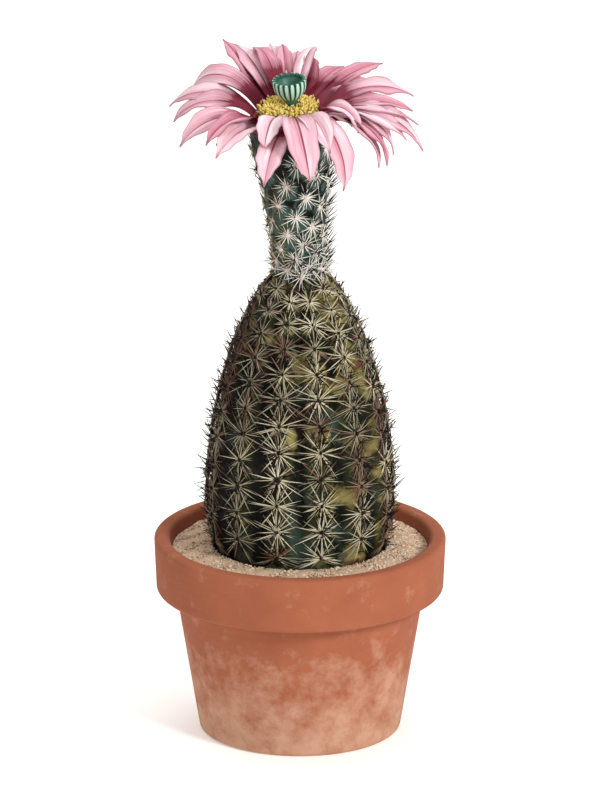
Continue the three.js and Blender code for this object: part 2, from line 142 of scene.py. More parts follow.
class TubeSizes(bpy.types.PropertyGroup):
    foot_height: size("Foot height", "Foot of the tube above the soil line", 91)
    foot_left: size("Foot offset", "Foot of the tube to the left of the stem's middle", 0.2)
    length: size("Length", "From the foot to the throat", 54)
    neck_radius: size("Neck radius", "Radius at the narrow neck", 7.2)
    throat_radius: size("Throat radius", "Radius at the throat", 13.8)
    lean_left: size("Lean to the left", "How far the throat stands to the left of the foot", 3.2)
    lean_front: size("Lean to the front", "How far the throat stands in front of the foot", 3)
    spine: size("Spine length", "Length of the longest spines", 6.6)
    spine_radius: size("Spine radius", "Radius of a spine at its foot", 0.165)
    areoles: count("Areoles", "Areoles on the tube", 62)
    spines: count("Spines", "White spines at each areole", 18)
    darks: count("Dark spines", "Dark spines at each areole", 9)


class FlowerSizes(bpy.types.PropertyGroup):
    petal_thickness: size("Petal thickness", "Thickness of a petal", 0.35)
    petal_ring: size("Petal ring", "Radius at which the petals leave the throat", 10.6)
    stamen_outer: size("Stamens, outside", "Outer radius of the ring of stamens", 9.6)
    stamen_inner: size("Stamens, inside", "Inner radius of the ring of stamens", 3.4)
    stamen_height: size("Stamen height", "Height of the stamens above the throat", 6)
    stamens: count("Stamens", "Filaments with their anthers", 900)
    lobes: count("Stigma lobes", "Lobes of the goblet on the style", 18)
    style_x: size("Style offset", "How far the style stands to the right of the throat's middle", 1.2)
    lobe_foot: size("Lobe foot", "Foot of the lobes above the throat", 8.4)
    lobe_length: size("Lobe length", "Height of the goblet", 6.6)
    stigma_radius: size("Stigma radius", "Half the goblet's width at its mouth", 5.6)
    style_radius: size("Style radius", "Radius of the style", 1.6)


class PlantColours(bpy.types.PropertyGroup):
    clay: colour("Clay", "Fired clay", "#a96446")
    clay_dark: colour("Dark clay", "Damp and handled patches of the clay", "#8a4a33")
    clay_bloom: colour("Mineral bloom", "Dried salts on the clay", "#c79f85")
    mix: colour("Potting mix", "Damp peat and bark", "#2b1f18")
    sand: colour("Sand", "Most of the grains", "#c3a68a")
    sand_pale: colour("Pale grains", "Quartz among the sand", "#e0cdb6")
    sand_dark: colour("Dark grains", "Brown and grey grains", "#6d5543")
    skin: colour("Stem skin", "Olive green on the ribs", "#303318")
    # Painted shade: the near-black green of the furrows stands for the shade that falls in them
    skin_furrow_shade: colour("Furrow skin", "Almost black green in the furrows", "#080d0a")
    skin_flush: colour("Skin flush", "Purplish brown flush", "#1b0f13")
    skin_ruddy: colour("Ruddy skin", "Reddish brown round the areoles", "#5c3826")
    skin_fresh: colour("Fresh skin", "Green patches low on the ribs", "#33463a")
    # Partly real cork, partly painted shade at the soil line
    skin_cork_and_shade: colour("Corky skin", "Almost black cork at the soil", "#15100d")
    skin_sunned: colour("Sunned skin", "Yellowish patches on the ribs", "#94884f")
    spine: colour("Pale spines", "Cream spines", "#e9e6d4")
    spine_straw: colour("Straw spines", "Straw-coloured spines", "#c9bd9c")
    spine_grey: colour("Grey spines", "Weathered olive grey spines", "#8f8f78")
    spine_ruddy: colour("Ruddy spines", "Reddish brown spines", "#7a5443")
    spine_old: colour("Old spines", "Dim brown spines", "#54443a")
    spine_tip: colour("Spine tips", "Browned tips of the pale spines", "#6b4633")
    spine_dark: colour("Dark spines", "Brown-black spines of the stem and the tube", "#160e0a")
    # Painted highlight: this pale point stands for a glint on the felt
    wool: colour("Areole wool", "Pale point of the felt at the foot of the spines", "#b3a06a")
    wool_old: colour("Old wool", "Browned felt round it", "#2b1f15")
    # Partly painted shade: the near black lies in the hollows between the bumps
    tube: colour("Tube skin", "Almost black green between the bumps", "#060c0b")
    tube_pale: colour("Tube bumps", "Greyer green on the tube's bumps", "#3d5048")
    tube_spine: colour("Tube spines", "White spines", "#e6e2d8")
    tube_straw: colour("Tube straw", "Straw-coloured spines on the tube's shaded side", "#7d6a3c")
    tube_wool: colour("Tube wool", "Pinkish white wool", "#d8c4c1")
    petal: colour("Petal", "Rose pink", "#d592a6")
    petal_edge: colour("Petal edge", "Pale pink edges", "#fbe8ed")
    # Also the painted shade on one half of each petal
    petal_vein: colour("Petal veins", "Deeper streaks", "#a84965")
    # Also the painted crease shade along each petal's fold
    petal_base: colour("Petal base", "Crimson at the throat", "#6e182d")
    filament_foot: colour("Filament feet", "Deeper yellow between the filaments", "#b39a45")
    filament: colour("Filaments", "Greenish yellow", "#e2d28a")
    anther: colour("Anthers", "Golden yellow", "#efd678")
    # Palest on the ridge of each lobe: partly the lobes' own pale green, partly a painted highlight
    lobe: colour("Stigma lobes", "Pale green", "#bfe0cb")
    # Painted shade: this deep green stands for the shade between the lobes and inside the goblet
    lobe_gap_shade: colour("Between the lobes", "Deep green", "#2b6150")


class CactusSettings(bpy.types.PropertyGroup):
    pot: PointerProperty(type=PotSizes, name="Pot", description="Sizes of the pot and what fills it")
    stem: PointerProperty(type=StemSizes, name="Stem", description="Sizes of the stem and its spines")
    tube: PointerProperty(type=TubeSizes, name="Tube", description="Sizes of the flower tube")
    flower: PointerProperty(type=FlowerSizes, name="Flower", description="Sizes of the flower")
    colours: PointerProperty(type=PlantColours, name="Colours", description="Colours of every piece")


def seeded(seed):
    """A repeatable draw of numbers from 0 to 1."""
    state = seed
    while True:
        state = (state * 1664525 + 1013904223) % 2**32
        yield state / 2**32


def between(low, high, share):
    """The value at a share of the way from low to high."""
    return low + (high - low) * share


def smooth(value, low, high):
    """0 below low, 1 above high and a soft step between them."""
    t = np.clip((value - low) / (high - low), 0, 1)
    return t * t * (3 - 2 * t)


def wander(points, period, seed):
    """A soft random value from -1 to 1 at each point, which varies over about one period."""
    draw = np.random.default_rng(seed)
    total = np.zeros(len(points))
    waves = 7
    for _ in range(waves):
        wave = draw.normal(size=3)
        wave *= TURN / period / np.linalg.norm(wave) * draw.uniform(0.7, 1.4)
        total += np.sin(points @ wave + draw.uniform(0, TURN))
    return total / (waves / 2)


# Modelling


def start_piece():
    """Leaves nothing selected, so that the next operator acts on the new piece alone."""
    if bpy.context.object and bpy.context.object.mode != "OBJECT":
        bpy.ops.object.mode_set(mode="OBJECT")
    bpy.ops.object.select_all(action="DESELECT")


def edit(select=True):
    """Enters edit mode with all or nothing selected."""
    bpy.ops.object.mode_set(mode="EDIT")
    bpy.ops.mesh.select_all(action="SELECT" if select else "DESELECT")


def close_up():
    """Merges doubles, points the faces outwards and leaves edit mode."""
    bpy.ops.mesh.select_all(action="SELECT")
    bpy.ops.mesh.remove_doubles(threshold=1e-6)
    bpy.ops.mesh.normals_make_consistent(inside=False)
    bpy.ops.object.mode_set(mode="OBJECT")


def turned(outline, steps):
    """A body turned about Z: one point is extruded along the outline, and the line is then spun."""
    start_piece()
    bpy.ops.mesh.primitive_plane_add(size=MM)
    edit()
    bpy.ops.mesh.merge(type="CENTER")
    at = Vector((0, 0, 0))
    for n, (radius, height) in enumerate(outline):
        step = Vector((radius, 0, height)) - at
        if n == 0:
            bpy.ops.transform.translate(value=step)
        else:
            bpy.ops.mesh.extrude_vertices_move(TRANSFORM_OT_translate={"value": step})
        at += step
    bpy.ops.mesh.select_all(action="SELECT")
    bpy.ops.mesh.spin(steps=steps, angle=TURN, center=(0, 0, 0), axis=(0, 0, 1))
    close_up()
    return bpy.context.object


def points_of(piece):
    """The vertices of a piece as rows of x, y and z."""
    flat = np.empty(len(piece.data.vertices) * 3)
    piece.data.vertices.foreach_get("co", flat)
    return flat.reshape(-1, 3)


def move_points(piece, points):
    """Puts the vertices of a piece where the rows of points say."""
    piece.data.vertices.foreach_set("co", np.asarray(points, float).ravel())
    piece.data.update()


def carried(points, matrix):
    """Rows of points, carried from the frame that a matrix stands for to the model's."""
    matrix = np.array(matrix)
    return points @ matrix[:3, :3].T + matrix[:3, 3]


def mark(piece, name, values):
    """Gives the vertices numbers that the material reads by name: one for all of them, or one each."""
    each = np.empty(len(piece.data.vertices), np.float32)
    each[:] = values
    piece.data.attributes.new(name, "FLOAT", "POINT").data.foreach_set("value", each)


def read_mark(piece, name):
    """The number that each vertex has under a name."""
    values = np.empty(len(piece.data.vertices), np.float32)
    piece.data.attributes[name].data.foreach_get("value", values)
    return values


def smoothed(piece, angle=60):
    """Smooth shading, with edges sharper than the angle kept."""
    start_piece()
    piece.select_set(True)
    bpy.context.view_layer.objects.active = piece
    bpy.ops.object.shade_smooth_by_angle(angle=math.radians(angle))
    return piece


def with_modifier(piece, kind, **settings):
    """Adds a modifier, sets it and applies it."""
    start_piece()
    piece.select_set(True)
    bpy.context.view_layer.objects.active = piece
    modifier = piece.modifiers.new(kind.title(), kind)
    for name, value in settings.items():
        setattr(modifier, name, value)
    bpy.ops.object.modifier_apply(modifier=modifier.name)


def copies(name, model, places, tints):
    """One mesh of copies of a model, each at its own matrix and with its own tint. The model goes."""
    points = points_of(model)
    flat = np.c_[points, np.ones(len(points))]
    faces = [tuple(face.vertices) for face in model.data.polygons]
    along = (points[:, 2] - points[:, 2].min()) / np.ptp(points[:, 2])
    crest = read_mark(model, "crest") if "crest" in model.data.attributes else None
    placed = np.concatenate([flat @ np.array(place).T[:, :3] for place in places])
    mesh = bpy.data.meshes.new(name)
    joined = [tuple(v + n * len(points) for v in face) for n in range(len(places)) for face in faces]
    mesh.from_pydata(placed.tolist(), [], joined)
    piece = bpy.data.objects.new(name, mesh)
    bpy.context.scene.collection.objects.link(piece)
    mark(piece, "tint", np.repeat(tints, len(points)))
    mark(piece, "along", np.tile(along, len(places)))
    if crest is not None:
        mark(piece, "crest", np.tile(crest, len(places)))
    bpy.data.objects.remove(model)
    return smoothed(piece)


def standing(root, direction, bend_to, length, width=1.0):
    """The matrix that stands a model of length 1 along Z on a root, with its X side towards bend_to."""
    z = direction.normalized()
    y = z.cross(bend_to).normalized()
    x = y.cross(z)
    turn = Matrix((x * width, y * width, z * length)).transposed().to_4x4()
    return Matrix.Translation(root) @ turn


def uneven_ball(offset, seed, grain=False):
    """A ball of radius 1 with its points shaken, as a tuft of wool or, with fewer faces, as a grain."""
    start_piece()
    if grain:
        bpy.ops.mesh.primitive_ico_sphere_add(subdivisions=1, radius=1)
    else:
        bpy.ops.mesh.primitive_uv_sphere_add(segments=10, ring_count=6, radius=1)
    edit()
    bpy.ops.transform.vertex_random(offset=offset, seed=seed)
    bpy.ops.object.mode_set(mode="OBJECT")
    return bpy.context.object


def spine_model(radius, bend):
    """A needle of length 1 along Z, stout to past its middle, that bends a little towards X."""
    blunt = 0.12  # the tip's radius as a share of the foot's
    start_piece()
    bpy.ops.mesh.primitive_cone_add(
        vertices=4, radius1=radius, radius2=radius * blunt, depth=1, location=(0, 0, 0.5)
    )
    bpy.ops.object.transform_apply(location=True, rotation=False, scale=False)
    model = bpy.context.object
    edit(select=False)
    bpy.ops.mesh.select_mode(type="EDGE")
    bpy.ops.object.mode_set(mode="OBJECT")
    for edge in model.data.edges:
        a, b = (model.data.vertices[v].co.z for v in edge.vertices)
        edge.select = abs(a - b) > 0.5
    bpy.ops.object.mode_set(mode="EDIT")
    bpy.ops.mesh.subdivide(number_cuts=2)
    bpy.ops.mesh.select_mode(type="VERT")
    bpy.ops.object.mode_set(mode="OBJECT")
    points = points_of(model)
    height = points[:, 2].copy()
    taper = 1 - blunt
    fullness = (1 - taper * height**2.4) / (1 - taper * height)
    points[:, :2] *= fullness[:, None]
    points[:, 0] += bend * height**2
    move_points(model, points)
    return model


def finish_piece(piece, name, material, node=None):
    """Names a finished piece, gives it its material and lets it ride on the model."""
    piece.name = name
    piece.data.name = name
    piece.data.materials.clear()
    piece.data.materials.append(material)
    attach(piece, "root")
    if node:
        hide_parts(node)


# Materials


def add(tree, kind, links=None, stops=None, **settings):
    """Adds a node with its settings. links gives each input a value or another node's output."""
    made = tree.nodes.new(kind)
    for name, value in settings.items():
        setattr(made, name, value)
    for name, value in (links or {}).items():
        if isinstance(value, bpy.types.NodeSocket):
            tree.links.new(value, made.inputs[name])
        else:
            made.inputs[name].default_value = value
    for n, (position, value) in enumerate(stops or []):
        ramp = made.color_ramp.elements
        stop = ramp[n] if n < 2 else ramp.new(position)
        stop.position = position
        stop.color = value if len(value) == 4 else (*value, 1)
    return made


def surface(name, **settings):
    """An empty material with its node tree and shader. Uniform values are set on the shader itself."""
    material = bpy.data.materials.new(name)
    material.use_nodes = True
    tree = material.node_tree
    shader = tree.nodes["Principled BSDF"]
    for socket, value in settings.items():
        shader.inputs[socket.replace("_", " ")].default_value = value
    return material, tree, shader


def grey(value):
    """A grey as a colour with alpha."""
    return (value, value, value, 1)


def place_of(tree):
    """Places on the piece in metres, as the model's own."""
    return add(tree, "ShaderNodeTexCoord").outputs["Object"]


def marked(tree, name):
    """The number that the piece's points carry under a name."""
    return add(tree, "ShaderNodeAttribute", attribute_name=name).outputs["Fac"]


def noise(tree, place, scale, detail=3.0, roughness=0.5):
    """Soft noise from 0 to 1."""
    links = {"Vector": place, "Scale": scale, "Detail": detail, "Roughness": roughness}
    return add(tree, "ShaderNodeTexNoise", links).outputs["Fac"]


def reckon(tree, operation, *values):
    """One step of arithmetic on numbers or on other nodes' outputs."""
    return add(tree, "ShaderNodeMath", dict(enumerate(values)), operation=operation).outputs[0]


def ramped(tree, value, *stops):
    """Colours or greys at positions along a value."""
    return add(tree, "ShaderNodeValToRGB", {"Fac": value}, stops=stops).outputs[0]


def step(tree, value, low, high, most=1.0):
    """A share that grows from 0 at low to its most at high."""
    links = {"Value": value, "From Min": low, "From Max": high, "To Max": most}
    return add(tree, "ShaderNodeMapRange", links).outputs[0]


def mixed(tree, share, first, second):
    """The first colour turning into the second."""
    links = {"Factor": share, 6: first, 7: second}
    return add(tree, "ShaderNodeMix", links, data_type="RGBA", clamp_factor=True).outputs[2]


def painted(tree, shader, tone, height=None, strength=0.3, depth=0.4, inverted=False):
    """Gives the shader its colour, and a relief of a depth in millimetres from a height."""
    tree.links.new(tone, shader.inputs["Base Color"])
    if height:
        links = {"Height": height, "Strength": strength, "Distance": depth * MM}
        bump = add(tree, "ShaderNodeBump", links, invert=inverted)
        tree.links.new(bump.outputs[0], shader.inputs["Normal"])


def fired_terracotta(colours):
    """Porous low-fired clay: matt, warm and a little uneven, with turning lines and a pale bloom of salts."""
    material, tree, shader = surface("fired_terracotta", Roughness=0.88, Specular_IOR_Level=0.25)
    place = place_of(tree)
    clay = mixed(tree, noise(tree, place, 55.0, 5.0, 0.6), colours.clay_dark, colours.clay)
    height = add(tree, "ShaderNodeSeparateXYZ", {0: place}).outputs["Z"]
    near_foot = step(tree, height, 0.045, 0.0, 0.42)
    bloom = reckon(tree, "ADD", noise(tree, place, 120.0, 6.0, 0.7), near_foot)
    tone = mixed(tree, step(tree, bloom, 0.58, 0.95, 0.75), clay, colours.clay_bloom)
    links = {"Vector": place, "Scale": 110.0, "Distortion": 1.2, "Detail": 2.0}
    lines = add(tree, "ShaderNodeTexWave", links, bands_direction="Z").outputs["Fac"]
    relief = reckon(tree, "MULTIPLY_ADD", lines, 0.5, noise(tree, place, 1600.0))
    painted(tree, shader, tone, relief, 0.25)
    return material


def peaty_mix(colours):
    """Damp peat with bark: almost black, with brown crumbs that catch a little light."""
    material, tree, shader = surface("peaty_potting_mix", Roughness=0.95)
    crumbs = add(tree, "ShaderNodeTexVoronoi", {"Vector": place_of(tree), "Scale": 420.0}).outputs["Distance"]
    tone = ramped(tree, crumbs, (0.0, tuple(c * 2 for c in colours.mix[:3])), (0.7, colours.mix))
    painted(tree, shader, tone, crumbs, 0.8, 1.0, inverted=True)
    return material


def river_sand(colours):
    """Washed sand: dry, matt grains of beige, quartz white, brown and grey, each of one colour."""
    material, tree, shader = surface("river_sand", Roughness=0.9, Specular_IOR_Level=0.3)
    cells = add(tree, "ShaderNodeTexVoronoi", {"Vector": place_of(tree), "Scale": 1300.0})
    cell_tone = add(tree, "ShaderNodeSeparateColor", {0: cells.outputs["Color"]}).outputs[0]
    drawn = reckon(tree, "MULTIPLY_ADD", cell_tone, 0.35, marked(tree, "tint"))
    tone = ramped(
        tree,
        drawn,
        (0.06, colours.sand_dark),
        (0.96, colours.sand_pale),
        (0.24, colours.sand),
        (0.62, colours.sand),
    )
    painted(tree, shader, tone, cells.outputs["Distance"], 0.5, inverted=True)
    return material


def waxy_skin(colours):
    """Waxy cactus rind: olive on the ribs, black-green in the furrows as painted shade, flushed, sunned or
    near-black with cork in places, with painted shade also over the left side and in the dark band at the
    soil.
    """
    material, tree, shader = surface("waxy_cactus_skin", Roughness=0.55, Specular_IOR_Level=0.12)
    place = place_of(tree)
    blotches = noise(tree, place, 150.0, 6.0, 0.68)
    level = reckon(tree, "MULTIPLY_ADD", blotches, 0.9, marked(tree, "crest"))
    # Where the crest value is low the rind turns near black: painted shade in the furrows and on the left
    # side
    tone = ramped(tree, level, (0.6, colours.skin_furrow_shade), (1.0, colours.skin))
    for name, patch in [
        ("fresh", colours.skin_fresh),
        ("flush", colours.skin_flush),
        ("sunned", colours.skin_sunned),
        ("ruddy", colours.skin_ruddy),
        ("corky", colours.skin_cork_and_shade),
    ]:
        edge = reckon(tree, "ADD", blotches, marked(tree, name))
        tone = mixed(tree, step(tree, edge, 0.62, 0.86, 0.9), tone, patch)
    painted(tree, shader, tone, noise(tree, place, 900.0, 2.0), 0.2, 0.3)
    return material


def horny_spine(name, tip, *tones):
    """Spine horn: hard and satin, of one tone or of several that its tint draws, and one at its tip."""
    material, tree, shader = surface(name, Roughness=0.45, Specular_IOR_Level=0.15)
    tone = tones[0]
    if len(tones) > 1:
        stops = [(n / (len(tones) - 1), tone) for n, tone in enumerate(tones)]
        tone = ramped(tree, marked(tree, "tint"), stops[0], stops[-1], *stops[1:-1])
    painted(tree, shader, mixed(tree, step(tree, marked(tree, "along"), 0.65, 1.0, 0.7), tone, tip))
    return material


def felted_wool(name, tone, rim):
    """Areole felt: short matted wool, matt and uneven, with a pale speck at its outer point, a painted glint.
    """
    material, tree, shader = surface(name, Roughness=1.0, Specular_IOR_Level=0.1)
    fuzz = noise(tree, place_of(tree), 2600.0)
    # Above 1 the felt takes the pale tone: a painted glint at the pad's outer point
    level = reckon(tree, "MULTIPLY_ADD", fuzz, 0.5, marked(tree, "along"))
    painted(tree, shader, ramped(tree, level, (1.0, rim), (1.0, tone)), fuzz, 0.9, 0.5)
    return material


def scaly_tube_skin(colours):
    """Flower tube skin: waxy, greyish green with blotches of near black between its bumps, partly the skin's
    own dark green and partly painted shade in the hollows.
    """
    material, tree, shader = surface("waxy_flower_tube", Roughness=0.5, Specular_IOR_Level=0.1)
    blotches = noise(tree, place_of(tree), 260.0, 4.0)
    # Lower between the bumps, so the hollows turn near black: painted shade
    level = reckon(tree, "MULTIPLY_ADD", blotches, 1.5, marked(tree, "crest"))
    painted(tree, shader, ramped(tree, level, (0.8, colours.tube), (1.0, colours.tube_pale)), blotches, 0.25)
    return material


def silky_petal(colours):
    """Petal tissue: thin, silky, slightly see-through, washed with pink, with long veins and a dark foot, and
    painted shade: rose on one half of each petal, crimson along its fold and deeper rose on the petals at the
    back and right.
    """
    material, tree, shader = surface(
        "silky_petal", Roughness=0.55, Specular_IOR_Level=0.25, Subsurface_Weight=0.15, Subsurface_Scale=0.001
    )
    shader.inputs["Subsurface Radius"].default_value = (1.0, 0.35, 0.45)
    uv = add(tree, "ShaderNodeUVMap", uv_map="petal").outputs[0]
    along = add(tree, "ShaderNodeSeparateXYZ", {0: uv}).outputs["Y"]
    deep, half = marked(tree, "deep"), marked(tree, "half")
    # The noises are drawn out along the petal, and each petal has its own part of them
    own = add(tree, "ShaderNodeCombineXYZ", {"Z": marked(tree, "tint")}).outputs[0]
    moved = add(tree, "ShaderNodeVectorMath", {0: uv, 1: own}, operation="ADD").outputs[0]
    wide = add(tree, "ShaderNodeMapping", {"Vector": moved, "Scale": (3.0, 1.6, 40.0)}).outputs[0]
    long = add(tree, "ShaderNodeMapping", {"Vector": moved, "Scale": (19.0, 1.5, 40.0)}).outputs[0]
    veins = noise(tree, long, 1.0, 4.0, 0.65)
    clouds = noise(tree, wide, 1.0, 2.0, 0.5)
    wash = reckon(tree, "MULTIPLY_ADD", deep, -0.3, clouds)
    tone = mixed(tree, step(tree, wash, 0.05, 0.56), colours.petal, colours.petal_edge)
    # Painted shade: rose on one half of each petal, from a sharp fold in its middle to its edge; the other
    # half stays pale as a painted highlight beside the fold
    half_shade = ramped(
        tree,
        step(tree, half, -1.0, 1.0),
        (0.0, grey(0.35)),
        (1.0, grey(0.4)),
        (0.12, grey(0.1)),
        (0.46, grey(0)),
        (0.475, grey(1)),
        (0.51, grey(1)),
        (0.53, grey(0.6)),
        (0.7, grey(0.4)),
        (0.85, grey(0.15)),
    )
    faded = reckon(tree, "MULTIPLY", half_shade, step(tree, clouds, 0.2, 0.55, 0.95))
    streaks = step(tree, veins, 0.5, 0.8, 0.5)
    rosy = reckon(tree, "MULTIPLY_ADD", deep, 0.42, reckon(tree, "ADD", streaks, faded))
    tone = mixed(tree, rosy, tone, colours.petal_vein)
    # Crimson along the fold as painted crease shade, and along the margins and the tip
    from_fold = reckon(tree, "ABSOLUTE", reckon(tree, "SUBTRACT", half, 0.02))
    fold = reckon(tree, "MULTIPLY", step(tree, from_fold, 0.07, 0.02, 0.6), step(tree, clouds, 0.3, 0.5))
    margin = step(tree, reckon(tree, "ABSOLUTE", half), 0.9, 0.98, 0.42)
    point = step(tree, along, 0.9, 1.0, 0.5)
    lines = reckon(tree, "MAXIMUM", fold, reckon(tree, "MAXIMUM", margin, point))
    tone = mixed(tree, lines, tone, colours.petal_base)
    # Crimson foot from the throat, reaching further up the deeper rose petals: partly the throat's own
    # crimson, partly painted shade deep in the flower
    reach = reckon(tree, "MULTIPLY_ADD", deep, -0.3, along)
    reach = reckon(tree, "MULTIPLY_ADD", veins, -0.25, reach)
    foot = ramped(tree, reach, (0.0, grey(1)), (0.2, grey(0)), (0.04, grey(0.6)))
    tone = mixed(tree, foot, tone, colours.petal_base)
    painted(tree, shader, tone, veins, 0.3)
    return material


def plain_tissue(name, foot, tip, roughness):
    """Soft plant tissue, of one colour at its foot and another at its tip, uneven from piece to piece."""
    material, tree, shader = surface(name, Roughness=roughness, Specular_IOR_Level=0.3)
    tone = mixed(tree, marked(tree, "along"), foot, tip)
    links = {"Value": marked(tree, "tint"), "To Min": 0.75, "To Max": 1.15}
    value = add(tree, "ShaderNodeMapRange", links).outputs[0]
    varied = add(tree, "ShaderNodeHueSaturation", {"Color": tone, "Value": value}).outputs[0]
    painted(tree, shader, varied)
    return material


def ridged_tissue(name, valley, ridge):
    """Moist stigma tissue: satin, pale on the ridge of each lobe as a painted highlight and deep green
    between them as painted shade.
    """
    material, tree, shader = surface(name, Roughness=0.45, Specular_IOR_Level=0.35)
    painted(tree, shader, mixed(tree, marked(tree, "crest"), valley, ridge))
    return material


# The stem's shape

FIRST_RIB = math.radians(-90 + 13.5)
ROW_CROWDING = 1.12


def stem_radius(sizes, height):
    """The stem's radius over its crests at heights above the soil line."""
    height = np.asarray(height, float)
    foot_curve = 5.6  # per metre: how fast the stem narrows below its widest level
    below = sizes.radius - foot_curve * (sizes.widest_at - height) ** 2
    rise = np.clip((height - sizes.widest_at) / (sizes.height - sizes.widest_at), 0, 1)
    return np.where(height < sizes.widest_at, below, sizes.radius * (1 - rise**1.7) ** 0.56)


def stem_outline(sizes):
    """Shares of the way along a crest from the soil line to the tip, with their radii and heights."""
    steps = np.linspace(0, 1, 801)
    heights = sizes.height * (1 - (1 - steps) ** 2)
    radii = stem_radius(sizes, heights)
    lengths = np.r_[0, np.cumsum(np.hypot(np.diff(radii), np.diff(heights)))]
    return lengths / lengths[-1], radii, heights


def row_share(sizes, row):
    """Areole rows come closer together towards the crown. Row 0 is at the soil."""
    return 1 - (1 - row / sizes.rows) ** ROW_CROWDING


def row_offset(rib):
    """The row of a rib's lowest areole. Areoles alternate from rib to rib."""
    return 0.45 + 0.5 * (rib % 2)


def rib_angle(sizes, rib):
    """The way out of a rib. The first is a little to the right of the front."""
    return FIRST_RIB + rib * TURN / sizes.ribs


def areoles(sizes, soil_line):
    """Each areole's middle, outward normal, way up the rib, way round it, the stem's radius, rib and row."""
    shares, radii, heights = stem_outline(sizes)
    for rib in range(sizes.ribs):
        row = row_offset(rib)
        while row < sizes.rows:
            share = row_share(sizes, row)
            radius, height = np.interp(share, shares, radii), np.interp(share, shares, heights)
            ahead = min(share + 0.002, 1)
            outwards, upwards = np.interp(ahead, shares, radii), np.interp(ahead, shares, heights)
            slope = Vector((outwards - radius, 0, upwards - height)).normalized()
            outward = Vector((math.cos(rib_angle(sizes, rib)), math.sin(rib_angle(sizes, rib)), 0))
            up = outward * slope.x + UP * slope.z
            normal = outward * slope.z - UP * slope.x
            middle = outward * (radius + sizes.tubercle)
            middle.z = soil_line + height
            if radius > sizes.crown_radius:
                yield middle, normal, up, up.cross(normal), radius, (rib, row)
            row += 1


# The flower tube's shape and the flower's frame


def tube_radius(sizes, length):
    """The tube's radius at lengths from its foot, a little wider at the foot than at the neck."""
    flare = (sizes.throat_radius - sizes.neck_radius) * (np.asarray(length) / sizes.length) ** 1.25
    return sizes.neck_radius + flare + 0.7 * MM * np.maximum(0, 1 - length / (8 * MM)) ** 2


LEAN_LEFT = math.radians(5)
LEAN_FRONT = math.radians(8)
LEAN_CURVE = 1.3


def leaning(sizes, soil_line, points):
    """Carries points of the straight tube, which stands on its foot, to the leaning tube."""
    share = np.maximum(0, points[:, 2]) / sizes.length
    pitch, roll = LEAN_FRONT * share, -LEAN_LEFT * share
    x, y = points[:, 0], points[:, 1]
    across, down = x * np.cos(roll), -x * np.sin(roll)
    moved = np.empty_like(points)
    moved[:, 0] = across - sizes.foot_left - sizes.lean_left * share**LEAN_CURVE
    moved[:, 1] = y * np.cos(pitch) - down * np.sin(pitch) - sizes.lean_front * share**LEAN_CURVE
    moved[:, 2] = y * np.sin(pitch) + down * np.cos(pitch) + soil_line + sizes.foot_height + points[:, 2]
    return moved


def throat_frame(settings):
    """The matrix from the flower's frame, at the middle of its throat, to the model's."""
    sizes = settings.tube
    middle = leaning(sizes, settings.pot.soil_line, np.array([[0, 0, sizes.length]]))[0]
    tilt = Matrix.Rotation(LEAN_FRONT, 4, "X") @ Matrix.Rotation(-LEAN_LEFT, 4, "Y")
    return Matrix.Translation(middle) @ tilt


# Operators, one for each piece or group of like pieces


class CACTUS_OT_pot(bpy.types.Operator):
    """Turn the clay pot, with its band, rounded rim and drainage hole"""

    bl_idname = "cactus.pot"
    bl_label = "Clay pot"

    def execute(self, context):
        s = context.scene.cactus.pot
        slope = (s.rim_radius - s.band_step - s.foot_radius) / s.height
        band_foot = s.height - s.band_height
        inner_step = band_foot + 2 * MM

        def wall(height):
            return s.foot_radius + slope * height

        def inside_band(height):
            return s.rim_radius - s.rim_wall - slope * (s.height - height)

        outline = [
            (s.drain_radius, 0),
            (s.foot_radius, 0),
            (wall(band_foot), band_foot),
            (s.rim_radius - 0.8 * MM, band_foot + 0.8 * MM),
            (s.rim_radius, s.height),
            (inside_band(s.height), s.height),
            (inside_band(inner_step + 2 * MM), inner_step + 2 * MM),
            (wall(inner_step - 3 * MM) - s.wall, inner_step - 3 * MM),
            (wall(s.floor) - s.wall, s.floor),
            (s.drain_radius, s.floor),
            (s.drain_radius, 0),
        ]
        pot = turned(outline, 128)
        with_modifier(pot, "BEVEL", width=1.3 * MM, segments=4, angle_limit=math.radians(25))
        smoothed(pot, 40)
        finish_piece(pot, "clay_pot", fired_terracotta(context.scene.cactus.colours), "pot")
        return {"FINISHED"}


class CACTUS_OT_potting_mix(bpy.types.Operator):
    """Give the dark mix in the pot its material"""

    bl_idname = "cactus.potting_mix"
    bl_label = "Potting mix"

    def execute(self, context):
        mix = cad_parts["soil"]
        mix.data.materials.clear()
        mix.data.materials.append(peaty_mix(context.scene.cactus.colours))
        return {"FINISHED"}


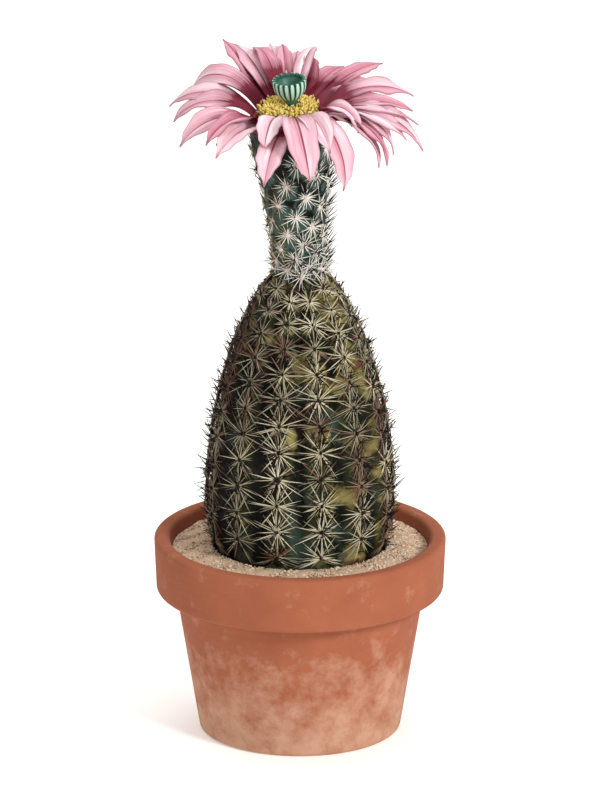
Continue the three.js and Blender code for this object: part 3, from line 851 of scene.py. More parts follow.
class CACTUS_OT_grit(bpy.types.Operator):
    """Spread the sandy top layer, with its loose grains"""

    bl_idname = "cactus.grit"
    bl_label = "Grit and grains"

    def execute(self, context):
        settings = context.scene.cactus
        s, stem = settings.pot, settings.stem
        low = s.soil_top
        outer = cad_radius("grit")
        inner = float(stem_radius(stem, 0)) + 1.0 * MM
        steps = 18
        rings = [between(outer, inner, n / steps) for n in range(steps + 1)]
        outline = [(inner, low), (outer - 0.6 * MM, low)]
        outline += [(r, self.height(s, r, inner)) for r in rings]
        outline.append((inner, low))
        bed = turned(outline, 200)
        points = points_of(bed)
        top = points[:, 2] > low + 1 * MM
        uneven = 0.35 * wander(points, 9 * MM, 3) + 0.2 * wander(points, 3 * MM, 4)
        points[top, 2] += uneven[top] * MM
        move_points(bed, points)
        mark(bed, "tint", 0.3)
        sand = river_sand(settings.colours)
        smoothed(bed, 50)
        finish_piece(bed, "grit_bed", sand, "grit")
        self.scatter(s, inner, outer, sand)
        return {"FINISHED"}

    def height(self, s, radius, inner):
        """The grit's surface: highest at the stem."""
        share = (radius - inner) / (s.rim_radius - s.rim_wall - inner)
        return between(s.soil_line, s.grit_at_wall, min(1, max(0, share)) ** 1.3)

    def scatter(self, s, inner, outer, sand):
        """Loose grains, half sunk in the bed and a few larger than the rest."""
        draw = seeded(23)
        places, tints = [], []
        for n in range(s.grains):
            share = (n + next(draw)) / s.grains
            radius = math.sqrt(between((inner - 0.4 * MM) ** 2, (outer - 0.5 * MM) ** 2, share))
            angle = n * GOLDEN_ANGLE + 0.5 * next(draw)
            grain = between(0.28, 0.75, next(draw) ** 3) * MM
            at = Vector((radius * math.cos(angle), radius * math.sin(angle), self.height(s, radius, inner)))
            flat = Matrix.Diagonal((grain, grain * between(0.7, 1, next(draw)), grain * 0.7, 1))
            turn = Matrix.Rotation(TURN * next(draw), 4, "Z") @ Matrix.Rotation(0.8 * next(draw), 4, "X")
            places.append(Matrix.Translation(at) @ turn @ flat)
            tints.append(next(draw))
        grains = copies("grit_grains", uneven_ball(0.22, 5, grain=True), places, tints)
        finish_piece(grains, "grit_grains", sand)


class CACTUS_OT_stem(bpy.types.Operator):
    """Turn the stem and press its furrows and tubercles into it"""

    bl_idname = "cactus.stem"
    bl_label = "Ribbed stem"

    def execute(self, context):
        settings = context.scene.cactus
        s, soil_line = settings.stem, settings.pot.soil_line
        shares, radii, heights = stem_outline(s)
        levels_below, levels, faces_per_rib = 7, 150, 14
        outline = [(0, -s.root)]
        for height in np.linspace(-s.root, -1.5 * MM, levels_below):
            outline.append((float(stem_radius(s, height)), height))
        for share in np.linspace(0, 1, levels)[:-1]:
            outline.append((float(np.interp(share, shares, radii)), float(np.interp(share, shares, heights))))
        outline.append((0, s.height))
        body = turned(outline, s.ribs * faces_per_rib)
        points = points_of(body)
        height = points[:, 2]
        crest_radius = np.hypot(points[:, 0], points[:, 1])
        angle = np.arctan2(points[:, 1], points[:, 0])
        turns = (angle - rib_angle(s, 0)) / TURN * s.ribs % s.ribs
        from_crest = turns - np.round(turns)
        rib = np.round(turns) % s.ribs
        share = np.interp(height, heights, shares)
        row = s.rows * (1 - (1 - share) ** (1 / ROW_CROWDING))
        to_areole = np.cos(TURN * (row - row_offset(rib)))
        on_crest = 1 - 2 * np.abs(from_crest)
        depth = s.furrow * between(0.2, 1, smooth(height, -6 * MM, 14 * MM))
        depth *= np.minimum(1, crest_radius / (22 * MM))
        furrow = depth * (1 - np.cos(math.pi * from_crest) ** 0.9)
        swell = np.where(height > 0, s.tubercle * to_areole * on_crest, 0)
        wrinkle = 0.12 * MM * np.sin(TURN * 3 * row + 2 * np.sin(7 * angle)) * (1 - on_crest) * (height > 0)
        radius = crest_radius - furrow + swell + wrinkle + 0.18 * MM * wander(points, 11 * MM, 8)
        radius = np.where(crest_radius < 1e-5, 0, radius)
        points[:, 0], points[:, 1] = radius * np.cos(angle), radius * np.sin(angle)
        points[:, 2] += soil_line
        move_points(body, points)
        side = points[:, 0] / s.radius
        crest = np.clip(on_crest, 0, 1)
        below_areole = np.maximum(0, np.cos(TURN * (row - row_offset(rib) + 0.3))) * crest
        sunned = 0.35 * below_areole + 0.3 * wander(points, 20 * MM, 6)
        sunned += 0.3 * (share - 0.4) - 0.5 * smooth(share, 0.8, 1)
        marks = {
            # Lower on the left side (-x), which darkens the rind there: painted shade on the side away from
            # the key light
            "crest": crest - 0.35 * np.maximum(0, -side),
            "flush": 0.4 * wander(points, 26 * MM, 5) + 0.3 * np.abs(side - 0.1) - 0.1,
            "sunned": sunned + 0.25 * side - 0.07,
            "ruddy": 0.3 * crest * to_areole + 0.3 * wander(points, 24 * MM, 9) + 0.5 * side - 0.45,
            "fresh": 0.35 * wander(points, 18 * MM, 7) + 0.22 * (0.8 - share) - 0.25 * np.abs(side),
            # Near-black band at the soil: partly corky rind, partly painted shade at the stem's foot, weaker
            # on the lit right side (+x)
            "corky": 1 - np.maximum(0, height) / (12 * MM) - 0.6 * np.maximum(0, side),
        }
        for name, values in marks.items():
            mark(body, name, np.clip(values, -1, 1))
        smoothed(body, 80)
        finish_piece(body, "stem_body", waxy_skin(settings.colours), "stem")
        return {"FINISHED"}


class CACTUS_OT_areoles(bpy.types.Operator):
    """Set a felted pad on each areole"""

    bl_idname = "cactus.areoles"
    bl_label = "Areole pads"

    def execute(self, context):
        settings = context.scene.cactus
        places, tints = [], []
        for middle, normal, up, _, radius, (rib, row) in areoles(settings.stem, settings.pot.soil_line):
            fit = min(1, max(0.6, radius / (24 * MM)))
            place = standing(middle + normal * 0.1 * MM, normal, up, 0.6 * MM * fit, 0.6 * MM * fit)
            places.append(place @ Matrix.Diagonal((1.2, 0.85, 1, 1)))
            tints.append((rib * 0.37 + row * 0.61) % 1)
        pads = copies("areole_pads", uneven_ball(0.1, 2), places, tints)
        # The pale tone is the painted glint at each pad's point
        felt = felted_wool("areole_felt", settings.colours.wool, settings.colours.wool_old)
        finish_piece(pads, "areole_pads", felt)
        return {"FINISHED"}


class CACTUS_OT_spines(bpy.types.Operator):
    """Grow the pale, old and dark radial spines and the dark central ones"""

    bl_idname = "cactus.spines"
    bl_label = "Stem spines"

    def execute(self, context):
        settings = context.scene.cactus
        s, c = settings.stem, settings.colours
        tones = (c.spine, c.spine_straw, c.spine_grey, c.spine_ruddy, c.spine_old)
        straw = horny_spine("straw_spine_horn", c.spine_tip, *tones)
        brown = horny_spine("dark_spine_horn", c.spine_dark, c.spine_dark)
        round_it, above_it = (0, TURN), (-0.03 * TURN, 0.53 * TURN)
        # For each set of spines its name, horn and seed, its number at an areole, the fan, the rises above
        # the skin in degrees, the lengths as shares of the longest, the spread of the roots in millimetres,
        # the width and how much browner it is
        for name, horn, seed, *growth in [
            ("radial_spines", straw, 31, s.radials, round_it, (0, 9), (0.45, 1.12), 0.5, 0.95, 0),
            ("old_radial_spines", straw, 53, s.old, round_it, (0, 7), (0.45, 1.0), 1.2, 0.8, 0.35),
            # Dark radials low on the skin between the pale ones: partly dark spines, partly painted shadow
            # where the pale spines' shadows fall
            ("dark_radial_spines", brown, 37, s.darks, round_it, (0, 6), (0.4, 1.0), 0.9, 1.05, 0),
            ("central_spines", brown, 47, s.centrals, above_it, (30, 62), (0.4, 0.7), 7.5, 1.0, 0),
        ]:
            grown = self.grow(settings, seeded(seed), *growth)
            needles = copies(name, spine_model(s.spine_radius, 0.65 * MM), *grown)
            finish_piece(needles, name, horn)
        return {"FINISHED"}

    def grow(self, settings, draw, number, fan, rises, lengths, spread, width, age):
        """Places and tints of spines in a fan round each areole, with roots spread up and down the rib."""
        s, soil_line = settings.stem, settings.pot.soil_line
        places, tints = [], []
        for middle, normal, up, side, radius, _ in areoles(s, soil_line):
            fit = min(1, max(0.6, radius / (24 * MM)))
            # Browner, darker tints for areoles that face left (-x): partly real browning, partly painted
            # shade on the side away from the key light
            browned_and_shaded = 0.5 * next(draw) ** 2 + 0.25 * max(0, normal.x) + 0.45 * max(0, -normal.x)
            browned_and_shaded += age
            start = next(draw)
            for n in range(number):
                around = between(*fan, (n + start + 1.3 * (next(draw) - 0.5)) / number)
                rise = math.radians(between(*rises, next(draw)))
                along = side * math.cos(around) + up * math.sin(around)
                direction = along * math.cos(rise) + normal * math.sin(rise)
                length = s.spine * fit * between(*lengths, next(draw))
                shift = (2 * next(draw) - 1) * spread * MM * fit
                row_gap = 7.8 * MM * fit
                sunk = s.tubercle * (1 - math.cos(TURN * shift / row_gap)) + 0.2 * MM
                root = middle + along * 0.25 * MM * fit + up * shift - normal * sunk
                clear = (soil_line + 0.6 * MM - root.z) / length
                if direction.z < clear:
                    level = Vector((direction.x, direction.y, 0)).normalized() * math.sqrt(1 - clear**2)
                    direction = Vector((level.x, level.y, clear))
                places.append(standing(root, direction, -normal, length, width))
                tints.append(browned_and_shaded + 0.35 * next(draw) ** 2)
        return places, tints


class CACTUS_OT_tube(bpy.types.Operator):
    """Turn the leaning flower tube, with its bumps and its hollow throat"""

    bl_idname = "cactus.tube"
    bl_label = "Flower tube"

    def execute(self, context):
        settings = context.scene.cactus
        s = settings.tube
        heights = np.linspace(0, s.length, 90)
        outline = [(0, 0)]
        outline += [(float(tube_radius(s, h)), float(h)) for h in heights]
        outline += [
            (s.throat_radius - 1.4 * MM, s.length),
            (s.throat_radius - 3 * MM, s.length - 0.6 * MM),
            (7 * MM, s.length - 2.5 * MM),
            (3 * MM, s.length - 4 * MM),
            (0, s.length - 4.4 * MM),
        ]
        tube = turned(outline, 110)
        points = points_of(tube)
        bumps = np.zeros(len(points))
        for height, angle in tube_areoles(s):
            radius = float(tube_radius(s, height))
            middle = np.array([radius * math.cos(angle), radius * math.sin(angle), height - 1.2 * MM])
            away = (points - middle) / (np.array([2.3, 2.3, 3.2]) * MM)
            bumps = np.maximum(bumps, np.exp(-(away**2).sum(1)))
        outward = np.hypot(points[:, 0], points[:, 1])
        swell = 0.55 * MM * bumps + 0.15 * MM * wander(points, 6 * MM, 12)
        swell[(outward < 6 * MM) | (points[:, 2] > s.length - 1 * MM)] = 0
        points[:, :2] *= 1 + (swell / np.maximum(outward, 1e-6))[:, None]
        move_points(tube, leaning(s, settings.pot.soil_line, points))
        mark(tube, "crest", bumps)
        smoothed(tube, 60)
        finish_piece(tube, "tube_body", scaly_tube_skin(settings.colours), "flower_tube")
        return {"FINISHED"}


def tube_areoles(sizes):
    """Heights and angles of the tube's areoles, in a golden-angle spiral."""
    for n in range(sizes.areoles):
        share = n / (sizes.areoles - 1)
        yield between(2.5 * MM, sizes.length - 6 * MM, share**1.4), n * GOLDEN_ANGLE


class CACTUS_OT_tube_spines(bpy.types.Operator):
    """Grow the white spines and the wool of the flower tube"""

    bl_idname = "cactus.tube_spines"
    bl_label = "Tube spines and wool"

    def execute(self, context):
        settings = context.scene.cactus
        s, c = settings.tube, settings.colours
        draw = seeded(61)
        spines, pads, dark = [], [], []
        spine_tints, pad_tints, dark_tints = [], [], []
        for height, angle in tube_areoles(s):
            radius = float(tube_radius(s, height)) + 0.35 * MM
            foot, out, top = leaning(
                s,
                settings.pot.soil_line,
                np.array(
                    [
                        [radius * math.cos(angle), radius * math.sin(angle), height],
                        [(radius + MM) * math.cos(angle), (radius + MM) * math.sin(angle), height],
                        [radius * math.cos(angle), radius * math.sin(angle), height + MM],
                    ]
                ),
            )
            foot = Vector(foot)
            normal = (Vector(out) - foot).normalized()
            up = (Vector(top) - foot).normalized()
            side = up.cross(normal).normalized()
            at_foot = 1 - smooth(height, 4 * MM, 12 * MM)
            shaded = max(0, -normal.x)
            pads.append(standing(foot - normal * 0.2 * MM, normal, up, 0.95 * MM, 1.05 * MM))
            pad_tints.append(next(draw))
            for n in range(s.spines):
                around = (n + 0.8 * next(draw)) / s.spines * TURN
                rise = math.radians(between(3, 24 + 30 * at_foot, next(draw)))
                along = side * math.cos(around) + up * math.sin(around)
                direction = along * math.cos(rise) + normal * math.sin(rise) + up * 0.1
                length = s.spine * between(0.4, 1.0, next(draw)) * (1 + 0.3 * at_foot - 0.4 * shaded)
                spines.append(standing(foot + along * 0.3 * MM, direction, -normal, length))
                spine_tints.append(0.7 * next(draw) ** 1.4 + 0.6 * shaded)
            for n in range(s.darks):
                around = between(0.1, 0.9, (n + next(draw)) / s.darks) * math.pi
                along = side * math.cos(around) + up * math.sin(around)
                direction = along * 0.8 + normal * between(0.3, 1.3, next(draw)) * (1 - 0.5 * shaded)
                direction += up * between(0.1, 0.6, next(draw))
                root = foot + up * (next(draw) - 0.5) * 7 * MM + side * (next(draw) - 0.5) * 2 * MM
                root -= normal * 0.6 * MM
                length = s.spine * between(0.6, 0.95, next(draw)) * (1 + 0.35 * max(0, normal.x))
                dark.append(standing(root, direction, -normal, length, 1.3))
                dark_tints.append(1.8 * shaded * next(draw))
        white = horny_spine("white_spine_horn", c.spine_grey, c.tube_spine, c.tube_spine, c.tube_straw)
        brown = horny_spine("brown_spine_horn", c.spine_dark, c.spine_dark, c.tube_straw)
        wool = felted_wool("white_wool", c.tube_wool, c.tube_wool)
        for name, model, places, tints, stuff in [
            ("tube_spines", spine_model(s.spine_radius, 0.1 * MM), spines, spine_tints, white),
            ("tube_dark_spines", spine_model(s.spine_radius, 0.1 * MM), dark, dark_tints, brown),
            ("tube_wool", uneven_ball(0.15, 9), pads, pad_tints, wool),
        ]:
            finish_piece(copies(name, model, places, tints), name, stuff)
        return {"FINISHED"}


# Each petal, the lower ones first: its way out in degrees from the right, its slopes in degrees at its foot
# and at its tip, its length and width, how far its tip bends aside, its turn about its own line in radians,
# the height of its foot, with all lengths in millimetres, and how deep its rose is: partly the petal's own
# tone, partly painted shade, deeper on the petals at the back and right
PETALS = [
    (-26, 32, -102, 30.5, 6.6, 0.1, -0.2, 1, 0.40),
    (-5, 30, -46, 33, 7.7, 0, -0.1, 1, 0.50),
    (-154, 53, -50, 32.2, 9, -0.2, -0.3, 1.2, 0.35),
    (-101, 22, -45, 30.6, 9.3, 1.1, 0, 1.2, 0.30),
    (-15, 38, -94, 32.3, 7.2, 0.1, 0, 1.2, 0.35),
    (98, 50, -14, 31.2, 6, 0, 0.1, 1.2, 0.10),
    (158, 48, -47, 34.7, 8.2, 0.3, -0.3, 1.2, 0.50),
    (-137, 45, -31, 23, 7.2, -0.7, -0.1, 1.4, 0.40),
    (-9, 29, -73, 38.9, 8.1, 0, 0.2, 1.4, 0.45),
    (1, 29, -35, 30.2, 7.7, -0.1, 0.1, 1.4, 0.65),
    (45, 27, -18, 33.4, 8.2, -0.3, 0.1, 1.4, 0.80),
    (70, 39, 3, 21.8, 8, -2.6, -0.1, 1.4, 1.00),
    (121, 37, 12, 33, 7.6, 0.9, 0.2, 1.4, 0.70),
    (-23, 30, -96, 32.1, 6.8, 0, -0.1, 1.6, 0.60),
    (84, 48, -19, 27.8, 7.2, -0.3, -0.1, 1.6, 0.40),
    (-29, 53, -55, 14.2, 5, 0.3, -0.2, 1.8, 0.40),
    (-126, 39, -32, 30.3, 8.6, 0, -0.2, 2, 0.15),
    (-14, 30, -62, 31.6, 7.7, -0.1, 0.1, 2, 0.30),
    (17, 36, -44, 33.6, 9.3, -0.1, 0.2, 2, 0.60),
    (59, 28, -19, 25.5, 8.5, -0.6, 0, 2, 0.80),
    (91, 53, -15, 28.9, 5.4, -0.9, 0.1, 2, 0.70),
    (114, 46, -8, 32.4, 8, -0.2, 0.1, 2, 0.30),
    (141, 61, -60, 36.1, 8.8, 0, -0.4, 2, 0.45),
    (168, 46, -57, 31.5, 8, 0.2, -0.3, 2, 0.50),
    (-135, 58, -41, 30.2, 7.4, -0.3, -0.1, 2.2, 0.75),
    (34, 25, -17, 22.7, 7.4, -0.5, 0, 2.2, 0.60),
    (77, 48, -23, 30.8, 6.6, 0.3, -0.2, 2.2, 0.20),
    (103, 64, -34, 32.5, 7.2, -1.9, 0.3, 2.4, 0.75),
    (-103, 82, -88, 22.5, 8.3, 2, -0.1, 3, 0.05),
    (-82, 68, -120, 38.5, 10.7, -1.6, 0, 2.8, 0.35),
    (-60, 52, -124, 41, 8.3, 0.3, 0.1, 2.6, 0.40),
    (-68, 66, -66, 30, 9.2, -0.3, 0.1, 2.4, 0.10),
    (-29, 72, -106, 22, 5.2, -0.5, 0.2, 3.2, 0.30),
]


class CACTUS_OT_petals(bpy.types.Operator):
    """Model one petal and bend its copies to their places in the open flower"""

    bl_idname = "cactus.petals"
    bl_label = "Petals"

    def execute(self, context):
        settings = context.scene.cactus
        s = settings.flower
        model = self.model(s)
        flat = points_of(model)
        throat = throat_frame(settings)
        draw = seeded(17)
        made = []
        for row in PETALS:
            start_piece()
            model.select_set(True)
            bpy.context.view_layer.objects.active = model
            bpy.ops.object.duplicate()
            petal = bpy.context.object
            free = [next(draw) for _ in range(6)]
            move_points(petal, carried(self.bent(s, flat, row, free), throat))
            mark(petal, "tint", free[5])
            # Per petal rose depth: partly its own tone, partly painted shade on the petals at the back and
            # right
            mark(petal, "deep", row[8])
            mark(petal, "half", flat[:, 0] * (1 if free[5] > 0.5 else -1))
            made.append(petal)
        bpy.data.objects.remove(model)
        ring = self.ring(settings)
        start_piece()
        for piece in [*made, ring]:
            piece.select_set(True)
        bpy.context.view_layer.objects.active = made[0]
        bpy.ops.object.join()
        petals = smoothed(bpy.context.object, 70)
        finish_piece(petals, "petals_dressed", silky_petal(settings.colours), "petals")
        return {"FINISHED"}

    def model(self, s):
        """A flat petal: X runs across it from -1 to 1, Y along it from 0 to 1, and Z is its relief."""
        start_piece()
        bpy.ops.mesh.primitive_grid_add(x_subdivisions=14, y_subdivisions=34, size=2)
        model = bpy.context.object
        model.data.uv_layers[0].name = "petal"
        points = points_of(model)
        points[:, 1] = (points[:, 1] + 1) / 2
        across, along = points[:, 0].copy(), points[:, 1]
        points[:, 2] = (
            -0.28 * MM * np.exp(-((across / 0.13) ** 2)) * np.sin(math.pi * along)
            + 0.1 * MM * np.exp(-(((np.abs(across) - 0.42) / 0.16) ** 2)) * np.sin(math.pi * along)
            + 0.05 * MM * np.cos(across * 21)
        )
        move_points(model, points)
        start_piece()
        model.select_set(True)
        edit()
        bpy.ops.mesh.solidify(thickness=s.petal_thickness)
        close_up()
        return model

    def bent(self, s, flat, row, free):
        """A petal of the table, bent to its place in the flower's frame.

        free gives it six numbers of its own, for its fold, its waves and its ragged edge.
        """
        angle, start, end = np.radians(row[:3])
        length, width, aside = np.array(row[3:6]) * MM
        twist, foot = row[6], row[7] * MM
        outward = np.array([math.cos(angle), math.sin(angle), 0])
        side = np.array([math.sin(angle), -math.cos(angle), 0])
        up = np.array([0, 0, 1.0])
        across, along, relief = flat[:, 0], flat[:, 1], flat[:, 2]
        # The petal's middle line, whose slope turns evenly from start to end
        cuts = 96
        steps = np.linspace(0, 1, cuts + 1)
        slope = start + (end - start) * steps
        run = np.r_[0, np.cumsum((np.cos(slope[1:]) + np.cos(slope[:-1])) / 2)] * length / cuts
        rise = np.r_[0, np.cumsum((np.sin(slope[1:]) + np.sin(slope[:-1])) / 2)] * length / cuts
        middle = np.outer(s.petal_ring + 1 * MM + np.interp(along, steps, run), outward)
        middle[:, 2] = foot + np.interp(along, steps, rise)
        middle += np.outer(aside * along**2, side)
        bend = start + (end - start) * along
        forward = np.outer(np.cos(bend), outward) + np.outer(np.sin(bend), up)
        straight_up = np.cross(side, forward)
        turn = (twist * np.minimum(1, 2 * along))[:, None]
        sideways = side * np.cos(turn) - straight_up * np.sin(turn)
        normal = np.cross(sideways, forward)
        half = 0.5 * width * petal_shape(along)
        # Soft waves along the edges, the raised margins and the rippled tip
        phase = TURN * free[0]
        wave = np.sin(TURN * (between(1.3, 2.6, free[1]) * along) + phase + 1.4 * np.sign(across)) * across**2
        fold = between(0.12, 0.4, free[2]) * (1 - 0.5 * along)
        waviness = between(0.3, 0.9, free[3]) * MM * wave * np.sin(math.pi * along) ** 0.7
        lift = fold * half * np.abs(across) + waviness
        notch = np.sin(between(23, 37, free[4]) * along + phase + np.sign(across)) * smooth(along, 0.45, 0.75)
        ragged = 1 + 0.08 * notch - 0.35 * smooth(along, 0.85, 0.95) * smooth(-along, -1.0, -0.95)
        return middle + sideways * (across * half * ragged)[:, None] + normal * (lift + relief)[:, None]

    def ring(self, settings):
        """The low collar on the throat that the petals grow from."""
        s, tube = settings.flower, settings.tube
        inner, outer = s.petal_ring, tube.throat_radius
        outline = [(inner, 0), (outer - 0.2 * MM, 0), (outer - 0.2 * MM, 1.2 * MM), (outer - 1 * MM, 2 * MM)]
        outline += [(inner + 0.5 * MM, 2.6 * MM), (inner, 2.2 * MM), (inner, 0)]
        ring = turned(outline, 60)
        ring.data.uv_layers.new(name="petal")
        move_points(ring, carried(points_of(ring), throat_frame(settings)))
        mark(ring, "tint", 0.5)
        # Full rose and crimson on the collar: partly its own colour, partly painted shade inside the throat
        mark(ring, "deep", 1.0)
        mark(ring, "half", 0.5)
        return ring


def petal_shape(along):
    """A petal's share of its full width: a narrow claw, widest past the middle, then a drawn-out tip."""
    claw = between(0.4, 1, smooth(along, 0, 0.48))
    widest = 0.5
    tip = np.maximum(0, 1 - np.maximum(0, (along - widest) / (1 - widest)) ** 2.1)
    return np.maximum(0.04, claw * tip)


class CACTUS_OT_stamens(bpy.types.Operator):
    """Grow the dense ring of filaments and anthers"""

    bl_idname = "cactus.stamens"
    bl_label = "Stamens"

    def execute(self, context):
        settings = context.scene.cactus
        s, c = settings.flower, settings.colours
        throat = throat_frame(settings)
        draw = seeded(83)
        filaments, anthers, tints = [], [], []
        for n in range(s.stamens):
            share = (n + 0.5) / s.stamens
            radius = s.stamen_outer * math.sqrt(share)
            angle = n * GOLDEN_ANGLE + 0.3 * (next(draw) - 0.5)
            outward = Vector((math.cos(angle), math.sin(angle), 0))
            if (outward * radius - Vector((s.style_x, 0, 0))).length < s.style_radius + 0.8 * MM:
                continue
            root = outward * (radius * 0.82) + UP * (-2.2 * MM)
            at_edge = smooth(radius, 0.75 * s.stamen_outer, s.stamen_outer)
            top = s.stamen_height * (1 - 0.65 * at_edge * next(draw)) + 1.2 * MM * (next(draw) - 0.4)
            tip = outward * radius + UP * top
            tip += Vector((next(draw) - 0.5, next(draw) - 0.5, 0)) * 0.8 * MM
            filaments.append(throat @ standing(root, tip - root, outward, (tip - root).length))
            lean = Vector((next(draw) - 0.5, next(draw) - 0.5, 0.55)) + outward * 0.6 * at_edge
            anther = standing(tip, lean, UP + outward * 0.3, 0.7 * MM, 0.75 * MM)
            anthers.append(throat @ anther)
            tints.append(next(draw))
        cushion = turned(
            [
                (s.stamen_inner, 0),
                (s.stamen_outer - 0.8 * MM, 0),
                (s.stamen_outer - 0.3 * MM, 2.4 * MM),
                (s.stamen_outer - 1.4 * MM, 4 * MM),
                (s.stamen_inner + 1.2 * MM, 4.4 * MM),
                (s.stamen_inner, 0),
            ],
            48,
        )
        mark(cushion, "along", 0.0)
        mark(cushion, "tint", 0.3)
        move_points(cushion, carried(points_of(cushion), throat))
        smoothed(cushion, 60)
        threads = copies("filaments", spine_model(0.16 * MM, 0.6 * MM), filaments, tints)
        tissue = plain_tissue("filament_tissue", c.filament_foot, c.filament, 0.5)
        finish_piece(threads, "filaments", tissue, "stamens")
        finish_piece(cushion, "filament_bed", tissue)
        start_piece()
        bpy.ops.mesh.primitive_uv_sphere_add(segments=6, ring_count=5, radius=1)
        bpy.ops.transform.resize(value=(0.42, 0.36, 0.85))
        bpy.ops.object.transform_apply(location=False, rotation=False, scale=True)
        sacs = copies("anthers", bpy.context.object, anthers, tints)
        finish_piece(sacs, "anthers", plain_tissue("powdery_anther", c.anther, c.anther, 0.85))
        return {"FINISHED"}


class CACTUS_OT_stigma(bpy.types.Operator):
    """Model the style and the goblet of lobes on it"""

    bl_idname = "cactus.stigma"
    bl_label = "Style and stigma"

    def execute(self, context):
        settings = context.scene.cactus
        s, c = settings.flower, settings.colours
        throat = throat_frame(settings) @ Matrix.Translation((s.style_x, 0, 0))
        style = turned(
            [
                (0, -4 * MM),
                (s.style_radius, -4 * MM),
                (s.style_radius, s.lobe_foot - 2 * MM),
                (s.stigma_radius - 2.0 * MM, s.lobe_foot + 1.2 * MM),
                (s.stigma_radius - 1.1 * MM, s.lobe_foot + s.lobe_length - 1.2 * MM),
                (s.stigma_radius - 1.5 * MM, s.lobe_foot + s.lobe_length - 1.2 * MM),
                (s.stigma_radius - 2.4 * MM, s.lobe_foot + 2.4 * MM),
                (0, s.lobe_foot + 1.6 * MM),
            ],
            24,
        )
        move_points(style, carried(points_of(style), throat))
        # The style and the goblet's inside take the dark green: painted shade
        mark(style, "crest", 0.05)
        smoothed(style, 70)
        tissue = ridged_tissue("moist_stigma", c.lobe_gap_shade, c.lobe)
        finish_piece(style, "style", tissue, "stigma")
        places = [throat @ Matrix.Rotation(TURN * n / s.lobes, 4, "Z") for n in range(s.lobes)]
        lobes = copies("stigma_lobes", self.lobe(s), places, [(n * 0.618) % 1 for n in range(s.lobes)])
        finish_piece(lobes, "stigma_lobes", tissue)
        return {"FINISHED"}

    def lobe(self, s):
        """One thick blunt lobe at +X, which curves out of the style and stands up at the goblet's mouth."""
        start_piece()
        bpy.ops.mesh.primitive_cube_add(size=2)
        lobe = bpy.context.object
        edit()
        bpy.ops.mesh.subdivide(number_cuts=4)
        bpy.ops.object.mode_set(mode="OBJECT")
        with_modifier(lobe, "SUBSURF", levels=1, render_levels=1)
        points = points_of(lobe)
        along = (points[:, 2] - points[:, 2].min()) / np.ptp(points[:, 2])
        curve = 1 - (1 - along) ** 3
        radius = between(s.style_radius + 0.5 * MM, s.stigma_radius - 0.7 * MM, curve)
        half = between(0.42, 0.76, curve) * MM * (1 - 0.3 * smooth(along, 0.85, 1))
        # Pale on the outer middle of each lobe, dark on its sides and inner face: painted highlight and
        # painted shade
        mark(lobe, "crest", smooth(points[:, 0], 0.1, 0.8) * smooth(-np.abs(points[:, 1]), -0.95, -0.4))
        points[:, 0] = radius + points[:, 0] * 0.66 * MM
        points[:, 1] = points[:, 1] * half * 1.02
        points[:, 2] = s.lobe_foot + along * s.lobe_length
        move_points(lobe, points)
        return lobe


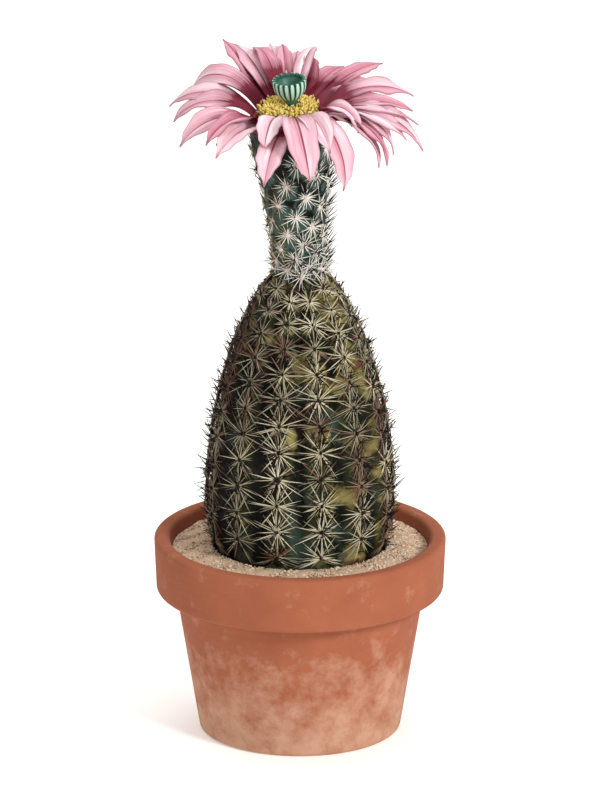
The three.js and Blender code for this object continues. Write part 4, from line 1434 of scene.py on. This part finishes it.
class CACTUS_OT_studio(bpy.types.Operator):
    """Set up the pale floor, the soft lights and the camera"""

    bl_idname = "cactus.studio"
    bl_label = "Studio"

    def execute(self, context):
        low, high = CAD_BOX
        middle = (low + high) / 2
        start_piece()
        bpy.ops.mesh.primitive_plane_add(size=12)
        floor = context.object
        floor.name = "floor"
        edit(select=False)
        bpy.ops.mesh.select_mode(type="EDGE")
        bpy.ops.object.mode_set(mode="OBJECT")
        for edge in floor.data.edges:
            edge.select = all(floor.data.vertices[v].co.y > 2 for v in edge.vertices)
        bpy.ops.object.mode_set(mode="EDIT")
        bpy.ops.mesh.extrude_region_move(TRANSFORM_OT_translate={"value": (0, 0.6, 3)})
        bpy.ops.object.mode_set(mode="OBJECT")
        with_modifier(floor, "BEVEL", width=1.2, segments=16, angle_limit=math.radians(30))
        smoothed(floor, 60)
        paper, _, _ = surface(
            "matt_paper",
            Roughness=0.9,
            Base_Color=linear("#f4f3f0"),
            Emission_Color=linear("#ffffff"),
            Emission_Strength=0.3,
        )
        floor.data.materials.append(paper)
        self.lights(middle)
        self.camera(context, middle)
        return {"FINISHED"}

    def lights(self, middle):
        """A soft key light from the right, a weak fill from the left and a broad light from above.

        Each has its place and width in metres and its power in watts.
        """
        for name, place, width, power in [
            ("key", (0.8, -0.9, 0.8), 0.3, 14),
            ("fill", (-1.0, -0.8, 0.4), 0.9, 1.5),
            ("top", (-0.1, 0.3, 1.3), 1.0, 9),
        ]:
            bpy.ops.object.light_add(type="AREA", location=place)
            light = bpy.context.object
            light.name = name
            light.data.size = width
            light.data.energy = power
            light.rotation_euler = (middle - Vector(place)).to_track_quat("-Z", "Y").to_euler()
        bpy.context.scene.view_settings.view_transform = "Standard"
        world = bpy.data.worlds.new("studio_air")
        world.use_nodes = True
        world.node_tree.nodes["Background"].inputs["Color"].default_value = linear("#f6f5f2")
        world.node_tree.nodes["Background"].inputs["Strength"].default_value = 0.5
        bpy.context.scene.world = world

    def camera(self, context, middle):
        """A long lens at the photograph's height of view. The whole plant and its pot fill the frame."""
        elevation, lens, sensor = math.radians(18), 500.0, 36.0
        frame_height = 0.262  # metres of the object's plane in the picture's height
        distance = frame_height * lens / sensor
        aim = middle - UP * MM
        place = aim + Vector((0, -math.cos(elevation), math.sin(elevation))) * distance
        bpy.ops.object.camera_add(location=place)
        camera = context.object
        camera.rotation_euler = (aim - place).to_track_quat("-Z", "Y").to_euler()
        camera.data.lens = lens
        camera.data.sensor_width = sensor
        camera.data.clip_end = 20
        context.scene.camera = camera


PIECES = [
    CACTUS_OT_pot,
    CACTUS_OT_potting_mix,
    CACTUS_OT_grit,
    CACTUS_OT_stem,
    CACTUS_OT_areoles,
    CACTUS_OT_spines,
    CACTUS_OT_tube,
    CACTUS_OT_tube_spines,
    CACTUS_OT_petals,
    CACTUS_OT_stamens,
    CACTUS_OT_stigma,
    CACTUS_OT_studio,
]


class CACTUS_PT_panel(bpy.types.Panel):
    """The pieces of the potted cactus and their sizes"""

    bl_idname = "CACTUS_PT_panel"
    bl_label = "Potted cactus"
    bl_space_type = "VIEW_3D"
    bl_region_type = "UI"
    bl_category = "Cactus"

    def draw(self, context):
        settings = context.scene.cactus
        for group in (settings.pot, settings.stem, settings.tube, settings.flower, settings.colours):
            box = self.layout.box()
            for name in group.bl_rna.properties.keys():
                if name not in ("rna_type", "name"):
                    box.prop(group, name)
        for piece in PIECES:
            self.layout.operator(piece.bl_idname)


GROUPS = [PotSizes, StemSizes, TubeSizes, FlowerSizes, PlantColours, CactusSettings]
CLASSES = [*GROUPS, *PIECES, CACTUS_PT_panel]


def register():
    for kind in CLASSES:
        bpy.utils.register_class(kind)
    bpy.types.Scene.cactus = PointerProperty(type=CactusSettings)


def unregister():
    del bpy.types.Scene.cactus
    for kind in reversed(CLASSES):
        bpy.utils.unregister_class(kind)


def main():
    register()
    bpy.ops.cactus.pot()
    bpy.ops.cactus.potting_mix()
    bpy.ops.cactus.grit()
    bpy.ops.cactus.stem()
    bpy.ops.cactus.areoles()
    bpy.ops.cactus.spines()
    bpy.ops.cactus.tube()
    bpy.ops.cactus.tube_spines()
    bpy.ops.cactus.petals()
    bpy.ops.cactus.stamens()
    bpy.ops.cactus.stigma()
    bpy.ops.cactus.studio()


if __name__ == "__main__":
    main()
